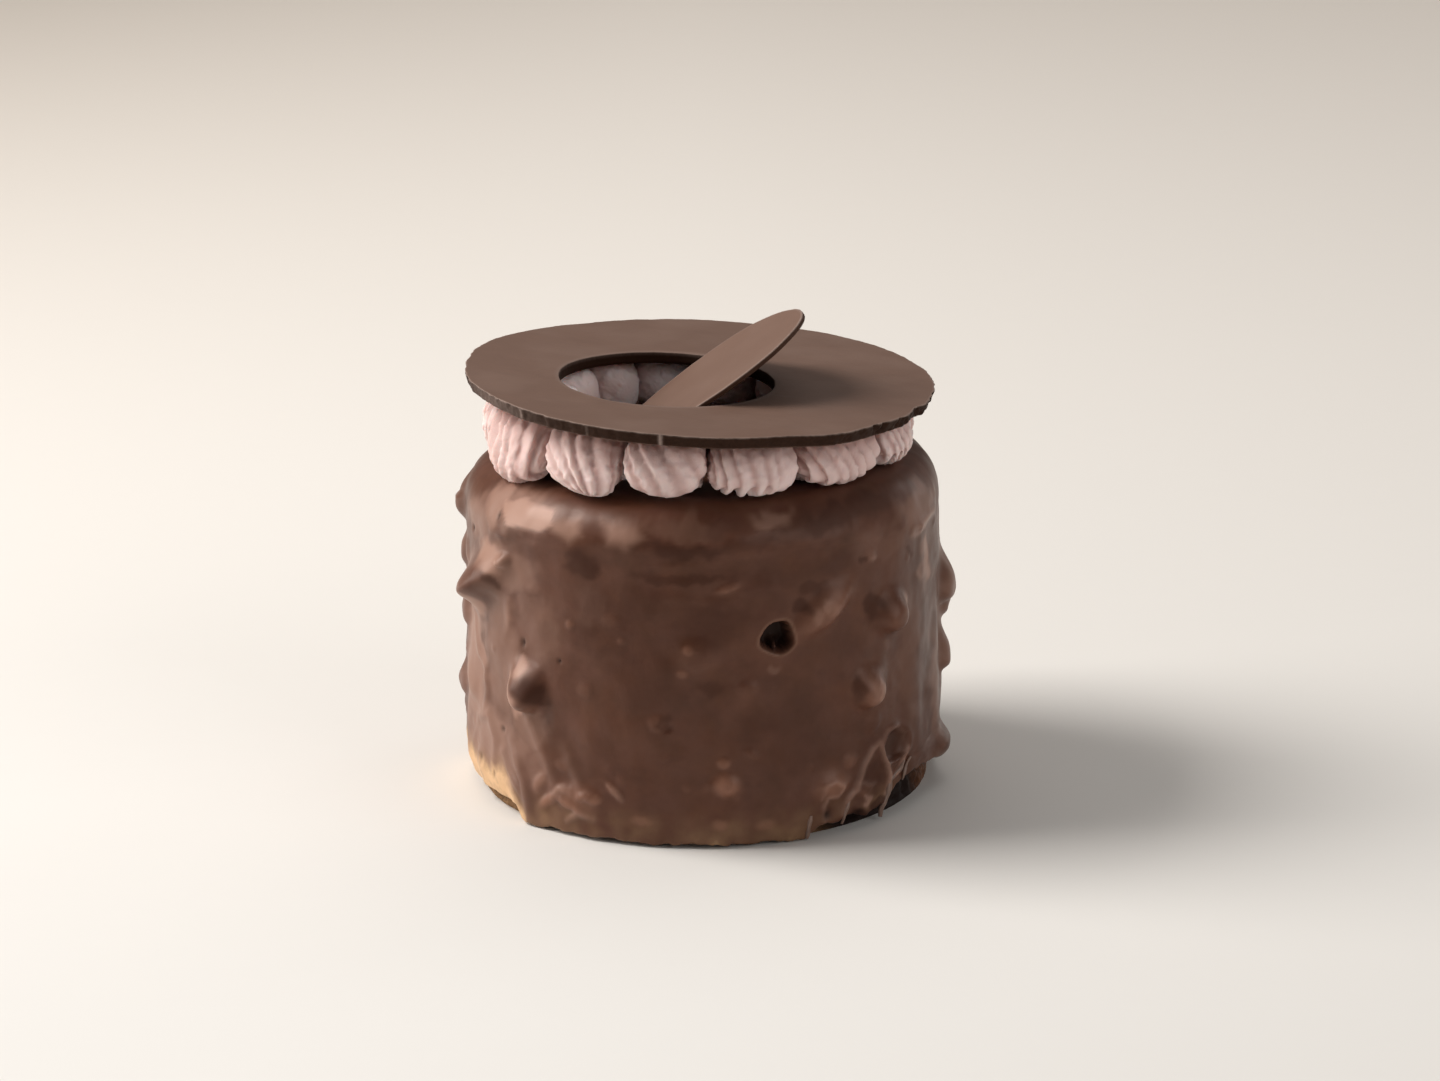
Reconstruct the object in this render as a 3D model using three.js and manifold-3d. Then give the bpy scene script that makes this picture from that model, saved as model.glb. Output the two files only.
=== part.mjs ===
// A single-portion chocolate hazelnut cake.
// A biscuit base carries a round cake coated in chocolate with chopped nuts under the coat.
// A ring of piped cream shells stands on its top and carries a thin chocolate disc. A round
// hole in the disc holds a second, smaller plate that leans up through it.
// Millimetres, +Z up. The origin is on the surface that the cake stands on, at its middle.
// An azimuth is in degrees from the front (-Y) towards the right (+X).

import * as THREE from 'three';
import { mergeVertices } from 'three/addons/utils/BufferGeometryUtils.js';
import Module from 'manifold-3d';

const wasm = await Module();
wasm.setup();

// Coated cake
const coatRadius = 32.75;
const coatTaper = 0.45;
const coatTop = 46.4;
const coatLean = 0.35;
const shoulderReach = 6.4;
const shoulderDrop = 6.6;
const shoulderSkew = 1.2;
const shoulderFade = 0.6;
const skirtHeight = 8;
const lipRounding = 0.3;

// Biscuit base in its pocket under the coat
const baseRadius = 31.0;
const baseHeight = 6.2;
const pocketClearance = 0.3;
const scoop = { azimuth: 50, width: 24, depth: 0.8 };

// Cream ring: azimuths of the gaps that show, in front and through the hole, and the usual step
const seenGaps = [-46, -21.2, 2.6, 28, 58, 207, 230];
const shellStep = 26;
const shellFoot = [28.0, 0.4];
const shellBend = 26.6;
const shellBulge = 3.2;
const shellTail = 15.6;
const shellTailShift = 0.9;
const shorterTails = { azimuth: 118, width: 50, by: 3.6 };
const shellRidges = 8;
const ridgeDepth = 0.09;
const shellBluntness = 2.4;
const shellFullness = 0.56;
const shellPresses = [1.22, 1.28];
const shellSquareness = 0.95;
const neighbourGap = 0.15;
const coatGap = 0.4;

// How each shell was piped, in turn. Slimness above 1 narrows it to the top and below 1 makes it
// boxy, foot is how blunt its foot is, lean moves its top sideways, lift raises its foot, and
// beak draws its foot to a point that beakAt puts left or right.
const usualShell = { slimness: 1.0, foot: 2.2, lean: 0, lift: 0, beak: 0.4, beakAt: 0 };
const shellForms = [
  { slimness: 1.1, foot: 2.7, lean: -1.6, beakAt: 0.9 },
  { slimness: 0.8, foot: 2.7, lift: 0.6, beak: 0.3 },
  { slimness: 0.9, foot: 2.8, beak: 0 },
  { slimness: 0.9, foot: 2.6, beak: 0.2 },
  { foot: 3.0, lift: -0.2, beak: 0.1 },
  { slimness: 0.65, foot: 2.0, lean: 0.5 },
  { slimness: 0.65 },
  { slimness: 0.65, foot: 3.6, lean: -0.3, lift: -1.2, beak: 0.3 },
  { slimness: 0.65, foot: 3.6, lift: -1.2, beak: 0.3 },
  { slimness: 1.15, foot: 1.9, beak: 0.9 },
  { foot: 2.6 },
  { slimness: 0.95, lean: 0.5 },
  { foot: 1.7, beak: 0 },
  { slimness: 0.85, foot: 3.0, lift: -0.6, beak: 0.7, beakAt: -1.2 },
];

// Chocolate disc, lower on its right, with its edge cut in a little underneath
const discRadius = 32.0;
const discThickness = 1.65;
const discMiddle = [0.4, 0, 56.3];
const discSlope = 0.056;
const discUndercut = 0.5;
const discUneven = [
  { at: 33, width: 9, out: 0.9 }, { at: 66, width: 3.5, out: -0.8 }, { at: 86, width: 13, out: -0.2 },
  { at: 140, width: 22, out: 0.5 }, { at: -151, width: 10, out: -0.7 },
  { at: -119, width: 12, out: 0.7 }, { at: -62, width: 18, out: -0.4 },
];
const holeRadius = 14.6;
const holeCentre = [-4.5, -2.5];
const restGap = 0.3;

// Leaning plate
const petalHalfWidth = 12.5;
const petalUpperReach = 13.5;
const petalLowerReach = 18.9;
const petalThickness = 0.7;
const petalCentre = [3.3, -2.9, 57.7];
const petalAngle = 34.4;

// Pit in the front of the coat
const pit = { azimuth: 17.6, height: 28.6, halfWidth: 2.25, halfHeight: 2.1, depth: 3.3 };

// Smooth hollow where the coat pulled away at the right
const hollow = { azimuth: 52.6, height: 9.7, halfWidth: 3.1, halfHeight: 2.6, depth: 0.7 };

// Ledges, where the coat sagged over a nut and stopped: the middle of the crest, its half
// length, how far it reaches above and below the crest, how far its left and right ends stand
// out, and its turn
const ledges = [
  { at: [-62, 32.7], halfLength: 6.8, above: 3.2, below: 1.7, out: [4.2, 1.1], turn: 38 },
  { at: [-46, 41.0], halfLength: 6.5, above: 4.0, below: 0.9, out: [0.6, 0.5], turn: 6 },
  { at: [-20, 41.4], halfLength: 5.0, above: 3.5, below: 1.2, out: [0.3, 0.3], turn: -4 },
  { at: [-72, 17.0], halfLength: 3.0, above: 6.0, below: 2.0, out: [0.7, 0.3], turn: 60 },
];
const ledgeSteepness = 2.0;

// Rolled lip that stands out over the torn stretch
const lip = { at: [81, 5.3], halfWidth: 4.2, halfHeight: 2.0, out: 1.5 };
const lipSteepness = 1.4;

// How far the coat's foot curves in on the left, and up to what height
const tuck = { azimuth: -74, width: 24, depth: 0.95, from: 0.8, top: 5.0 };

// Nuts under the coat: azimuth, height, half width, half height, how far they stand proud,
// how far they sag and how far the longer ones are turned
const nuts = [
  { at: [-46, 19.6], size: [2.9, 3.0], proud: 2.8, sag: 1.1 },
  { at: [42, 19.5], size: [2.6, 2.5], proud: 2.1, sag: 0.8 },
  { at: [50.5, 28.9], size: [2.7, 2.5], proud: 2.0, sag: 0.8 },
  { at: [29.4, 31.6], size: [4.4, 2.1], proud: 1.3, sag: 0.3, turn: 36 },
  { at: [-1.5, 26.8], size: [2.6, 2.0], proud: 0.5, sag: 0.2 },
  { at: [4.8, 8.9], size: [1.6, 1.5], proud: 0.7, sag: 0.2 },
  { at: [31, 6.8], size: [2.6, 2.0], proud: 0.7, sag: 0.3 },
  { at: [-31, 5.6], size: [3.4, 2.0], proud: 0.5, sag: 0.2 },
  { at: [-94, 39.2], size: [2.8, 2.8], proud: 1.45, sag: 0.5 },
  { at: [-90, 32.4], size: [2.2, 2.1], proud: 0.9, sag: 0.3 },
  { at: [-86, 24.6], size: [2.4, 2.2], proud: 0.9, sag: 0.3 },
  { at: [-88, 14.2], size: [2.5, 2.2], proud: 0.8, sag: 0.3 },
  { at: [88, 27.9], size: [3.0, 3.3], proud: 2.2, sag: 1.5 },
  { at: [92, 23.6], size: [2.2, 1.8], proud: 1.1, sag: 0.5 },
  { at: [88, 17.4], size: [2.6, 2.6], proud: 1.4, sag: 0.9 },
];
const hiddenNuts = {
  count: 19, azimuths: [104, 262], heights: [6, 41],
  halfWidths: [2.2, 3.4], halfHeights: [2.0, 3.1], proud: [0.7, 2.3], sag: [0.2, 1.1],
};
const nutSteepness = 1.75;

// Slow unevenness of the poured coat: waves round the side, a fold that sags under the front
// of the shoulder with a hollow below it, and runs down the right side
const swells = [{ lobes: 3, lean: 0.09, out: 0.16 }, { lobes: 7, lean: -0.13, out: 0.12 }];
const folds = [
  { at: [10, 42.2], size: [24, 1.7], out: 0.32 },
  { at: [10, 38.4], size: [24, 2.2], out: -0.3 },
];
const runs = { at: 84, width: 22, spacing: 12.4, out: 0.2, fadeFrom: 22, fadeTo: 34 };

// Lower edge of the coat: azimuth and height, with drips near the surface and a torn stretch
const lowerEdge = [
  [-110, 0.8], [-75, 1.9], [-62, 2.2], [-52, 2.2], [-48.5, 0.4], [-45.5, 0.2], [-40, 0.6],
  [-22, 0.6], [-10, 0.4], [-1, 0.6], [8, 0.3], [15, 0.5], [21, 0.2], [23.5, 0.1], [29, 1.6],
  [32, 1.4], [36, 2.3], [41, 1.5], [44, 1.9], [47, 2.3], [50, 3.2], [52.5, 4.4], [58, 5.0],
  [64, 4.9], [70, 4.5], [80, 3.4], [90, 1.9], [104, 0.6], [150, 0.3], [180, 0.9], [215, 0.5],
];

const degree = Math.PI / 180;
const lerp = THREE.MathUtils.lerp;
const clamp = THREE.MathUtils.clamp;
const smooth = (low, high, value) => THREE.MathUtils.smoothstep(value, low, high);
const turnsApart = (a, b) => ((a - b) % 360 + 540) % 360 - 180;
const bell = (distance) => Math.exp(-(distance ** 2));
const signedPower = (value, power) => Math.sign(value) * Math.abs(value) ** power;

// One closed mesh: vertices in the same place become one, and triangles with no area go
function weld(geometry) {
  geometry.deleteAttribute('normal');
  geometry.deleteAttribute('uv');
  const merged = mergeVertices(geometry, 1e-4);
  const corners = merged.index.array;
  const kept = [];
  for (let i = 0; i < corners.length; i += 3) {
    const [a, b, c] = corners.slice(i, i + 3);
    if (a !== b && b !== c && c !== a) kept.push(a, b, c);
  }
  merged.setIndex(kept);
  return merged;
}

function toManifold(geometry) {
  return new wasm.Manifold(new wasm.Mesh({
    numProp: 3,
    vertProperties: new Float32Array(geometry.attributes.position.array),
    triVerts: new Uint32Array(geometry.index.array),
  }));
}

function fromManifold(manifold) {
  const mesh = manifold.getMesh();
  const geometry = new THREE.BufferGeometry();
  geometry.setAttribute('position', new THREE.BufferAttribute(mesh.vertProperties, 3));
  geometry.setIndex(new THREE.BufferAttribute(mesh.triVerts, 1));
  return geometry;
}

// Moves every vertex of a geometry: place(vertex, index) changes the vertex itself
function moveVertices(geometry, place) {
  const position = geometry.attributes.position;
  const vertex = new THREE.Vector3();
  for (let i = 0; i < position.count; i += 1) {
    vertex.fromBufferAttribute(position, i);
    place(vertex, i);
    position.setXYZ(i, vertex.x, vertex.y, vertex.z);
  }
}

const discUnderside = (x) => discMiddle[2] - discThickness - discSlope * (x - discMiddle[0]);

// The nuts that face away from the front, spread by the golden ratio
function spreadNuts({ count, azimuths, heights, halfWidths, halfHeights, proud, sag }) {
  const golden = (Math.sqrt(5) - 1) / 2;
  const spread = [];
  for (let i = 0; i < count; i += 1) {
    const across = (i + 0.5) / count;
    const up = (i * golden + 0.35) % 1;
    const big = (i * golden * golden + 0.6) % 1;
    spread.push({
      at: [lerp(...azimuths, across), lerp(...heights, up)],
      size: [lerp(...halfWidths, big), lerp(...halfHeights, big)],
      proud: lerp(...proud, big),
      sag: lerp(...sag, big),
    });
  }
  return spread;
}

const allNuts = [...nuts, ...spreadNuts(hiddenNuts)];

// Where a place on the side lies from another one, along a turned line and over it
function fromPlace(azimuth, height, at, turn) {
  const across = turnsApart(azimuth, at[0]) * degree * coatRadius;
  const up = height - at[1];
  const along = across * Math.cos(turn * degree) + up * Math.sin(turn * degree);
  const over = up * Math.cos(turn * degree) - across * Math.sin(turn * degree);
  return { along, over };
}

// How far the nuts push the coat out, and down, at a place on its side
function nutRelief(azimuth, height) {
  let out = 0;
  let down = 0;
  for (const { at, size, proud, sag, turn = 0 } of allNuts) {
    const { along, over } = fromPlace(azimuth, height, at, turn);
    const distance = (along / size[0]) ** 2 + (over / size[1]) ** 2;
    const dome = Math.exp(-(distance ** nutSteepness));
    out += proud * dome;
    down += sag * dome;
  }
  return { out, down };
}

// How far the ledges stand out: gently from above, and steeply back below their crest
function ledgeRelief(azimuth, height) {
  let total = 0;
  for (const { at, halfLength, above, below, out, turn } of ledges) {
    const { along, over } = fromPlace(azimuth, height, at, turn);
    const share = along / halfLength;
    const side = Math.exp(-(Math.abs(over / (over > 0 ? above : below)) ** ledgeSteepness));
    total += lerp(...out, smooth(-1, 1, share)) * side * Math.exp(-(share ** 4));
  }
  return total;
}

// How deep the hollow is at a place on the side
function hollowDepth(azimuth, height) {
  const { along, over } = fromPlace(azimuth, height, [hollow.azimuth, hollow.height], 0);
  const distance = Math.hypot(along / hollow.halfWidth, over / hollow.halfHeight);
  return hollow.depth * (1 - smooth(0.55, 1.05, distance));
}

// How far the rolled lip stands out at a place on the side
function lipRelief(azimuth, height) {
  const { along, over } = fromPlace(azimuth, height, lip.at, 0);
  const distance = (along / lip.halfWidth) ** 2 + (over / lip.halfHeight) ** 2;
  return lip.out * Math.exp(-(distance ** lipSteepness));
}

// How far the foot curves in at a place on the side
function tucked(azimuth, height) {
  const near = bell(turnsApart(azimuth, tuck.azimuth) / tuck.width);
  return tuck.depth * near * (1 - smooth(tuck.from, tuck.top, height));
}

// How far the coat's slow unevenness pushes it out at a place on its side
function coatSwell(azimuth, height) {
  let out = 0;
  for (const swell of swells) {
    out += swell.out * Math.sin(swell.lobes * azimuth * degree + swell.lean * height);
  }
  for (const { at, size, out: depth } of folds) {
    out += depth * bell(turnsApart(azimuth, at[0]) / size[0]) * bell((height - at[1]) / size[1]);
  }
  const wave = Math.sin(azimuth / runs.spacing * 360 * degree);
  const fade = 1 - smooth(runs.fadeFrom, runs.fadeTo, height);
  return out + runs.out * wave * bell(turnsApart(azimuth, runs.at) / runs.width) * fade;
}

// Height of the coat's lower edge, a smooth closed line through the heights above
function edgeHeight(azimuth) {
  const count = lowerEdge.length;
  const position = (azimuth - lowerEdge[0][0] + 720) % 360 + lowerEdge[0][0];
  let i = 0;
  while (i < count - 1 && lowerEdge[i + 1][0] <= position) i += 1;
  const end = i < count - 1 ? lowerEdge[i + 1] : [lowerEdge[0][0] + 360, lowerEdge[0][1]];
  return lerp(lowerEdge[i][1], end[1], smooth(lowerEdge[i][0], end[0], position));
}

// The profile runs from the middle of the pocket, round its lip and up the side to the top
function coatProfile() {
  const pocketRadius = baseRadius + pocketClearance;
  const profile = [
    { radius: 0, height: baseHeight, part: 'pocket' },
    { radius: pocketRadius, height: baseHeight, part: 'pocket' },
    { radius: pocketRadius + 0.1, height: 0, part: 'skirt', onSide: false },
    { radius: coatRadius - lipRounding, height: 0, part: 'skirt' },
  ];
  const skirtRows = 4;
  for (let i = 1; i <= skirtRows; i += 1) {
    profile.push({ radius: coatRadius, height: skirtHeight * i / skirtRows, part: 'skirt' });
  }
  const sideRows = 18;
  const sideTop = coatTop - shoulderDrop;
  for (let i = 1; i <= sideRows; i += 1) {
    profile.push({ radius: coatRadius, height: lerp(skirtHeight, sideTop, i / sideRows), part: 'side' });
  }
  const shoulderRows = 5;
  for (let i = 1; i <= shoulderRows; i += 1) {
    const angle = i / shoulderRows * 90 * degree;
    const round = 1 - Math.cos(angle);
    profile.push({
      radius: coatRadius - shoulderReach * round,
      height: sideTop + shoulderDrop * Math.sin(angle),
      part: i < shoulderRows ? 'shoulder' : 'top',
      round,
    });
  }
  profile.push({ radius: 0, height: coatTop, part: 'top' });
  return profile;
}

function coatedCake() {
  const profile = coatProfile();
  const segments = 112;
  const geometry = new THREE.LatheGeometry(
    profile.map(({ radius, height }) => new THREE.Vector2(radius, height)), segments);
  geometry.rotateX(90 * degree);
  moveVertices(geometry, (vertex, index) => {
    const { part, round = 0, onSide = true } = profile[index % profile.length];
    if (part !== 'pocket' && part !== 'top') {
      const azimuth = Math.atan2(vertex.x, -vertex.y) / degree;
      const relief = nutRelief(azimuth, vertex.z);
      const inward = coatTaper * vertex.z / coatTop;
      const level = part === 'skirt' ? smooth(0, skirtHeight, vertex.z) : 1;
      const fade = part === 'shoulder' ? shoulderFade : 1;
      const skew = shoulderSkew * round * Math.sin(azimuth * degree);
      const outward = coatSwell(azimuth, vertex.z) + relief.out + ledgeRelief(azimuth, vertex.z);
      const back = inward + hollowDepth(azimuth, vertex.z);
      if (part === 'skirt') {
        vertex.z = lerp(edgeHeight(azimuth), skirtHeight, vertex.z / skirtHeight);
      }
      vertex.z -= relief.down * level;
      const foot = lipRelief(azimuth, vertex.z) - tucked(azimuth, vertex.z);
      const push = outward * level * fade - back + skew + (onSide ? foot : 0);
      const radius = Math.hypot(vertex.x, vertex.y);
      vertex.x *= 1 + push / radius;
      vertex.y *= 1 + push / radius;
    }
    vertex.x += coatLean;
  });
  return fromManifold(toManifold(weld(geometry)).subtract(toManifold(pitShape())));
}

// The pit is a rounded hollow that opens through the coat
function pitShape() {
  const geometry = new THREE.SphereGeometry(1, 14, 10);
  moveVertices(geometry, (vertex) => {
    vertex.set(vertex.x * pit.halfWidth, vertex.z * pit.depth, vertex.y * pit.halfHeight);
  });
  geometry.rotateZ(pit.azimuth * degree);
  const angle = pit.azimuth * degree;
  geometry.translate(
    coatRadius * Math.sin(angle) + coatLean, -coatRadius * Math.cos(angle), pit.height);
  const welded = weld(geometry);
  const corners = welded.index.array;
  for (let i = 0; i < corners.length; i += 3) {
    [corners[i], corners[i + 1]] = [corners[i + 1], corners[i]];
  }
  return welded;
}

// A disc of crushed biscuit, a little uneven round its side
function biscuitBase() {
  const rows = [[0, 0], [0.985, 0], [1, 0.2], [0.992, 0.55], [1, 0.8], [0.985, 1], [0, 1]];
  const profile = rows.map(([across, up]) =>
    new THREE.Vector2(across * baseRadius, up * baseHeight));
  const geometry = new THREE.LatheGeometry(profile, 72);
  geometry.rotateX(90 * degree);
  moveVertices(geometry, (vertex) => {
    const turn = Math.atan2(vertex.x, -vertex.y);
    const rough = Math.sin(17 * turn + vertex.z) * Math.sin(5 * turn + 2 * vertex.z);
    const scooped = scoop.depth * bell(turnsApart(turn / degree, scoop.azimuth) / scoop.width);
    const scale = 1 - 0.006 * (1 + rough) - scooped / baseRadius;
    vertex.x = vertex.x * scale + coatLean;
    vertex.y *= scale;
  });
  return weld(geometry);
}

// Azimuths between the shells: the gaps that show, and even steps with a small change between
function shellBounds() {
  const bounds = [seenGaps[0]];
  seenGaps.forEach((gap, i) => {
    const next = i + 1 < seenGaps.length ? seenGaps[i + 1] : seenGaps[0] + 360;
    const shells = Math.round((next - gap) / shellStep);
    for (let k = 1; k <= shells; k += 1) {
      const uneven = k < shells ? 1.3 * Math.sin(2.4 * k) : 0;
      bounds.push(lerp(gap, next, k / shells) + uneven);
    }
  });
  return bounds;
}

// Height of the coat's top and of its shoulder, with a little room, at a distance from the axis
function coatFloor(radius, angle) {
  const reach = shoulderReach - shoulderSkew * Math.sin(angle);
  const level = 1 - clamp((coatRadius - coatTaper - radius) / reach, 0, 1);
  const drop = shoulderDrop * (1 - Math.sqrt(1 - level ** 2));
  return coatTop - Math.max(drop - coatGap, 0);
}

// One piped shell: a ridged drop on an axis that rises from its outer foot, turns inward and
// ends in a blunt tail. It is flat underneath, and flat on top where the disc presses on it.
function creamShell(from, to, order) {
  const form = { ...usualShell, ...shellForms[order] };
  const azimuth = (from + to) / 2;
  const angle = azimuth * degree;
  const wedge = Math.tan((to - from) / 2 * degree);
  const shorter = bell(turnsApart(azimuth, shorterTails.azimuth) / shorterTails.width);
  const tail = shellTail + shellTailShift * Math.cos(angle) + 0.35 * Math.sin(order * 1.9)
    + shorterTails.by * shorter;
  const room = discUnderside(shellBend * Math.sin(angle)) - restGap - coatTop;
  const halfHeight = room * shellFullness;
  const axis = new THREE.CubicBezierCurve(
    new THREE.Vector2(...shellFoot),
    new THREE.Vector2(shellBend, room * 0.95),
    new THREE.Vector2(lerp(tail, shellBend, 0.55), room * 0.5),
    new THREE.Vector2(tail, room * 0.5));
  const stations = 9;
  const profile = [];
  for (let i = 0; i <= stations; i += 1) {
    const along = (1 - Math.cos(Math.PI * i / stations)) / 2;
    const blunt = along < 0.5 ? form.foot : shellBluntness;
    const fullness = (1 - Math.abs(2 * along - 1) ** blunt) ** (1 / blunt);
    profile.push(new THREE.Vector2(fullness, along));
  }
  const geometry = new THREE.LatheGeometry(profile, shellRidges * 2);
  moveVertices(geometry, (vertex) => {
    const along = vertex.y;
    const around = Math.atan2(vertex.x, vertex.z);
    const fullness = Math.hypot(vertex.x, vertex.z);
    const middle = axis.getPoint(along);
    const heading = axis.getTangent(along);
    const size = fullness * (1 + ridgeDepth * Math.cos(shellRidges * around));
    const halfDepth = lerp(halfHeight, shellBulge, Math.abs(heading.y));
    const rise = size * halfDepth * signedPower(Math.cos(around), shellSquareness);
    const tip = along < 0.5 ? bell(fullness / 0.5) : 0;
    const out = middle.x + heading.y * rise + 0.5 * form.beak * tip;
    const limit = wedge * out - neighbourGap;
    const press = lerp(...shellPresses, smooth(0.25, 0.6, along));
    const lifted = middle.y - heading.x * rise + form.lift * (1 - smooth(0.1, 0.5, along))
      - form.beak * tip;
    const leaning = form.lean * (smooth(0, room, lifted) - 0.4) * (1 - smooth(0.45, 0.7, along));
    const reach = size * wedge * middle.x * press * signedPower(Math.sin(around), form.slimness)
      + leaning + form.beakAt * tip;
    const side = clamp(reach, -limit, limit);
    const x = out * Math.sin(angle) + side * Math.cos(angle);
    const y = -out * Math.cos(angle) + side * Math.sin(angle);
    const top = discUnderside(x) - restGap;
    const z = clamp(coatTop + lifted, coatFloor(Math.hypot(x, y), angle), top);
    vertex.set(x, y, z);
  });
  return weld(geometry);
}

// Outline of the disc: nearly round, and uneven where it was snapped and chipped
function discOutline() {
  const steps = 96;
  const points = [];
  for (let i = 0; i < steps; i += 1) {
    const azimuth = i / steps * 360;
    const turn = azimuth * degree;
    let radius = discRadius + 0.06 * Math.sin(13 * turn);
    for (const { at, width, out } of discUneven) {
      radius += out * bell(turnsApart(azimuth, at) / width);
    }
    points.push(new THREE.Vector2(radius * Math.sin(turn), -radius * Math.cos(turn)));
  }
  return points;
}

function chocolateDisc() {
  const shape = new THREE.Shape(discOutline());
  const hole = new THREE.Path();
  hole.absarc(holeCentre[0], holeCentre[1], holeRadius, 0, 2 * Math.PI, true);
  shape.holes.push(hole);
  const geometry = new THREE.ExtrudeGeometry(
    shape, { depth: discThickness, bevelEnabled: false, curveSegments: 36 });
  geometry.translate(0, 0, -discThickness);
  moveVertices(geometry, (vertex) => {
    const radius = Math.hypot(vertex.x, vertex.y);
    if (vertex.z < 0 && radius > discRadius - 2) {
      vertex.x *= 1 - discUndercut / radius;
      vertex.y *= 1 - discUndercut / radius;
    }
  });
  return weld(geometry);
}

// The leaning plate: round above, drawn out below to its foot on the cake
function chocolatePetal() {
  const outline = new THREE.Shape();
  const reaches = [[petalUpperReach, -90], [petalLowerReach, 90]];
  for (const [reach, start] of reaches) {
    outline.absellipse(
      0, 0, reach, petalHalfWidth, start * degree, (start + 180) * degree, false, 0);
  }
  outline.closePath();
  const geometry = new THREE.ExtrudeGeometry(
    outline, { depth: petalThickness, bevelEnabled: false, curveSegments: 24 });
  geometry.translate(0, 0, -petalThickness / 2);
  return weld(geometry);
}

const finish = (color, roughness) =>
  new THREE.MeshStandardMaterial({ color, roughness, metalness: 0 });

function piece(name, geometry, material) {
  const mesh = new THREE.Mesh(geometry, material);
  mesh.name = name;
  return mesh;
}

function cake() {
  const group = new THREE.Group();
  group.add(piece('biscuit_base', biscuitBase(), finish(0x9a6a3c, 0.85)));
  group.add(piece('cake_body', coatedCake(), finish(0x54382c, 0.3)));

  const bounds = shellBounds();
  for (let i = 0; i + 1 < bounds.length; i += 1) {
    const name = `cream_shell_${String(i + 1).padStart(2, '0')}`;
    group.add(piece(name, creamShell(bounds[i], bounds[i + 1], i), finish(0xc9a39c, 0.6)));
  }

  const disc = piece('chocolate_disc', chocolateDisc(), finish(0x74594d, 0.45));
  disc.rotation.y = Math.atan(discSlope);
  disc.position.set(...discMiddle);
  group.add(disc);

  const petal = piece('chocolate_petal', chocolatePetal(), finish(0x8a6c5e, 0.45));
  petal.rotation.y = -petalAngle * degree;
  petal.position.set(...petalCentre);
  group.add(petal);
  return group;
}

export default cake();
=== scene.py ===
"""A chocolate hazelnut cake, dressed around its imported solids.

The builders work in millimetres, with +Z up and the front towards -Y. An azimuth is in degrees
from the front towards the right (+X). Meshes are made in metres.
"""

import math

import bpy
import numpy as np
from bpy.props import FloatProperty, FloatVectorProperty, IntProperty, PointerProperty
from mathutils import Matrix, Vector, noise


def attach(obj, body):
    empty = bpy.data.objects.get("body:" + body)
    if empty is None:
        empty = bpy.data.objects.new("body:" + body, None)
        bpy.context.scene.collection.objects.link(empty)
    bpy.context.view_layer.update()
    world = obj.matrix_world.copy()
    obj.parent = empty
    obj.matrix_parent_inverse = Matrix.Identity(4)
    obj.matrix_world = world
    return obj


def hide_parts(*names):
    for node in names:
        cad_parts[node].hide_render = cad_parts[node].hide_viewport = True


bl_info = {
    "name": "Chocolate hazelnut cake",
    "version": (1, 0, 0),
    "blender": (4, 5, 0),
    "location": "3D View > Sidebar > Cake",
    "description": "Builds a coated cake with piped cream and thin chocolate plates",
    "category": "Add Mesh",
}

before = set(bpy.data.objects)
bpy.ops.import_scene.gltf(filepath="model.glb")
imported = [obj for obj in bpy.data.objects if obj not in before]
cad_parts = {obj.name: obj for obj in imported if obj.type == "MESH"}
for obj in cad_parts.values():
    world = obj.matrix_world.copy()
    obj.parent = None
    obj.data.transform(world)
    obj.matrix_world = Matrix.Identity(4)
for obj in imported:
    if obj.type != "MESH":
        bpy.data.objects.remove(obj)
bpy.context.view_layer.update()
MM = 0.001

# Coated cake: its taper and its middle's offset to the right, its shoulder, the skirt above its
# lower edge, the pocket for the biscuit, and the rows of points up its side and shoulder
COAT_TAPER = 0.45
COAT_LEAN = 0.35
SHOULDER_REACH = 6.4
SHOULDER_DROP = 6.6
SHOULDER_SKEW = 1.2
SHOULDER_FADE = 0.6
SKIRT_HEIGHT = 8
POCKET_RADIUS = 31.25
POCKET_ROOF = 7
SIDE_ROWS = 118
SHOULDER_ROWS = 24

# Nuts under the coat: azimuth, height, half width, half height, how far they stand proud, how
# far they sag, the turn of the longer ones, and how much of the nut shows through the coat
NUTS = [
    (-46, 19.6, 2.9, 3.0, 2.8, 1.1, 0, 0.10),
    (42, 19.5, 2.6, 2.5, 2.1, 0.8, 0, 0.30),
    (50.5, 28.9, 2.7, 2.5, 2.0, 0.8, 0, 0.15),
    (29.4, 31.6, 4.4, 2.1, 1.3, 0.3, 36, 0.30),
    (-1.5, 26.8, 2.6, 2.0, 0.5, 0.2, 0, 0.05),
    (4.8, 8.9, 1.6, 1.5, 0.7, 0.2, 0, 0.50),
    (31, 6.8, 2.6, 2.0, 0.7, 0.3, 0, 0.45),
    (-31, 5.6, 3.4, 2.0, 0.5, 0.2, 0, 0.30),
    (-94, 39.2, 2.8, 2.8, 1.45, 0.5, 0, 0.12),
    (-90, 32.4, 2.2, 2.1, 0.9, 0.3, 0, 0.15),
    (-86, 24.6, 2.4, 2.2, 0.9, 0.3, 0, 0.12),
    (-88, 14.2, 2.5, 2.2, 0.8, 0.3, 0, 0.20),
    (88, 27.9, 3.0, 3.3, 2.2, 1.5, 0, 0.10),
    (92, 23.6, 2.2, 1.8, 1.1, 0.5, 0, 0.10),
    (88, 17.4, 2.6, 2.6, 1.4, 0.9, 0, 0.18),
]
HIDDEN_NUTS = {
    "count": 19,
    "azimuths": (104, 262),
    "heights": (6, 41),
    "half_widths": (2.2, 3.4),
    "half_heights": (2.0, 3.1),
    "proud": (0.7, 2.3),
    "sag": (0.2, 1.1),
    "shows": (0.32, 0.06),
}
NUT_STEEPNESS = 1.75

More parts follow.
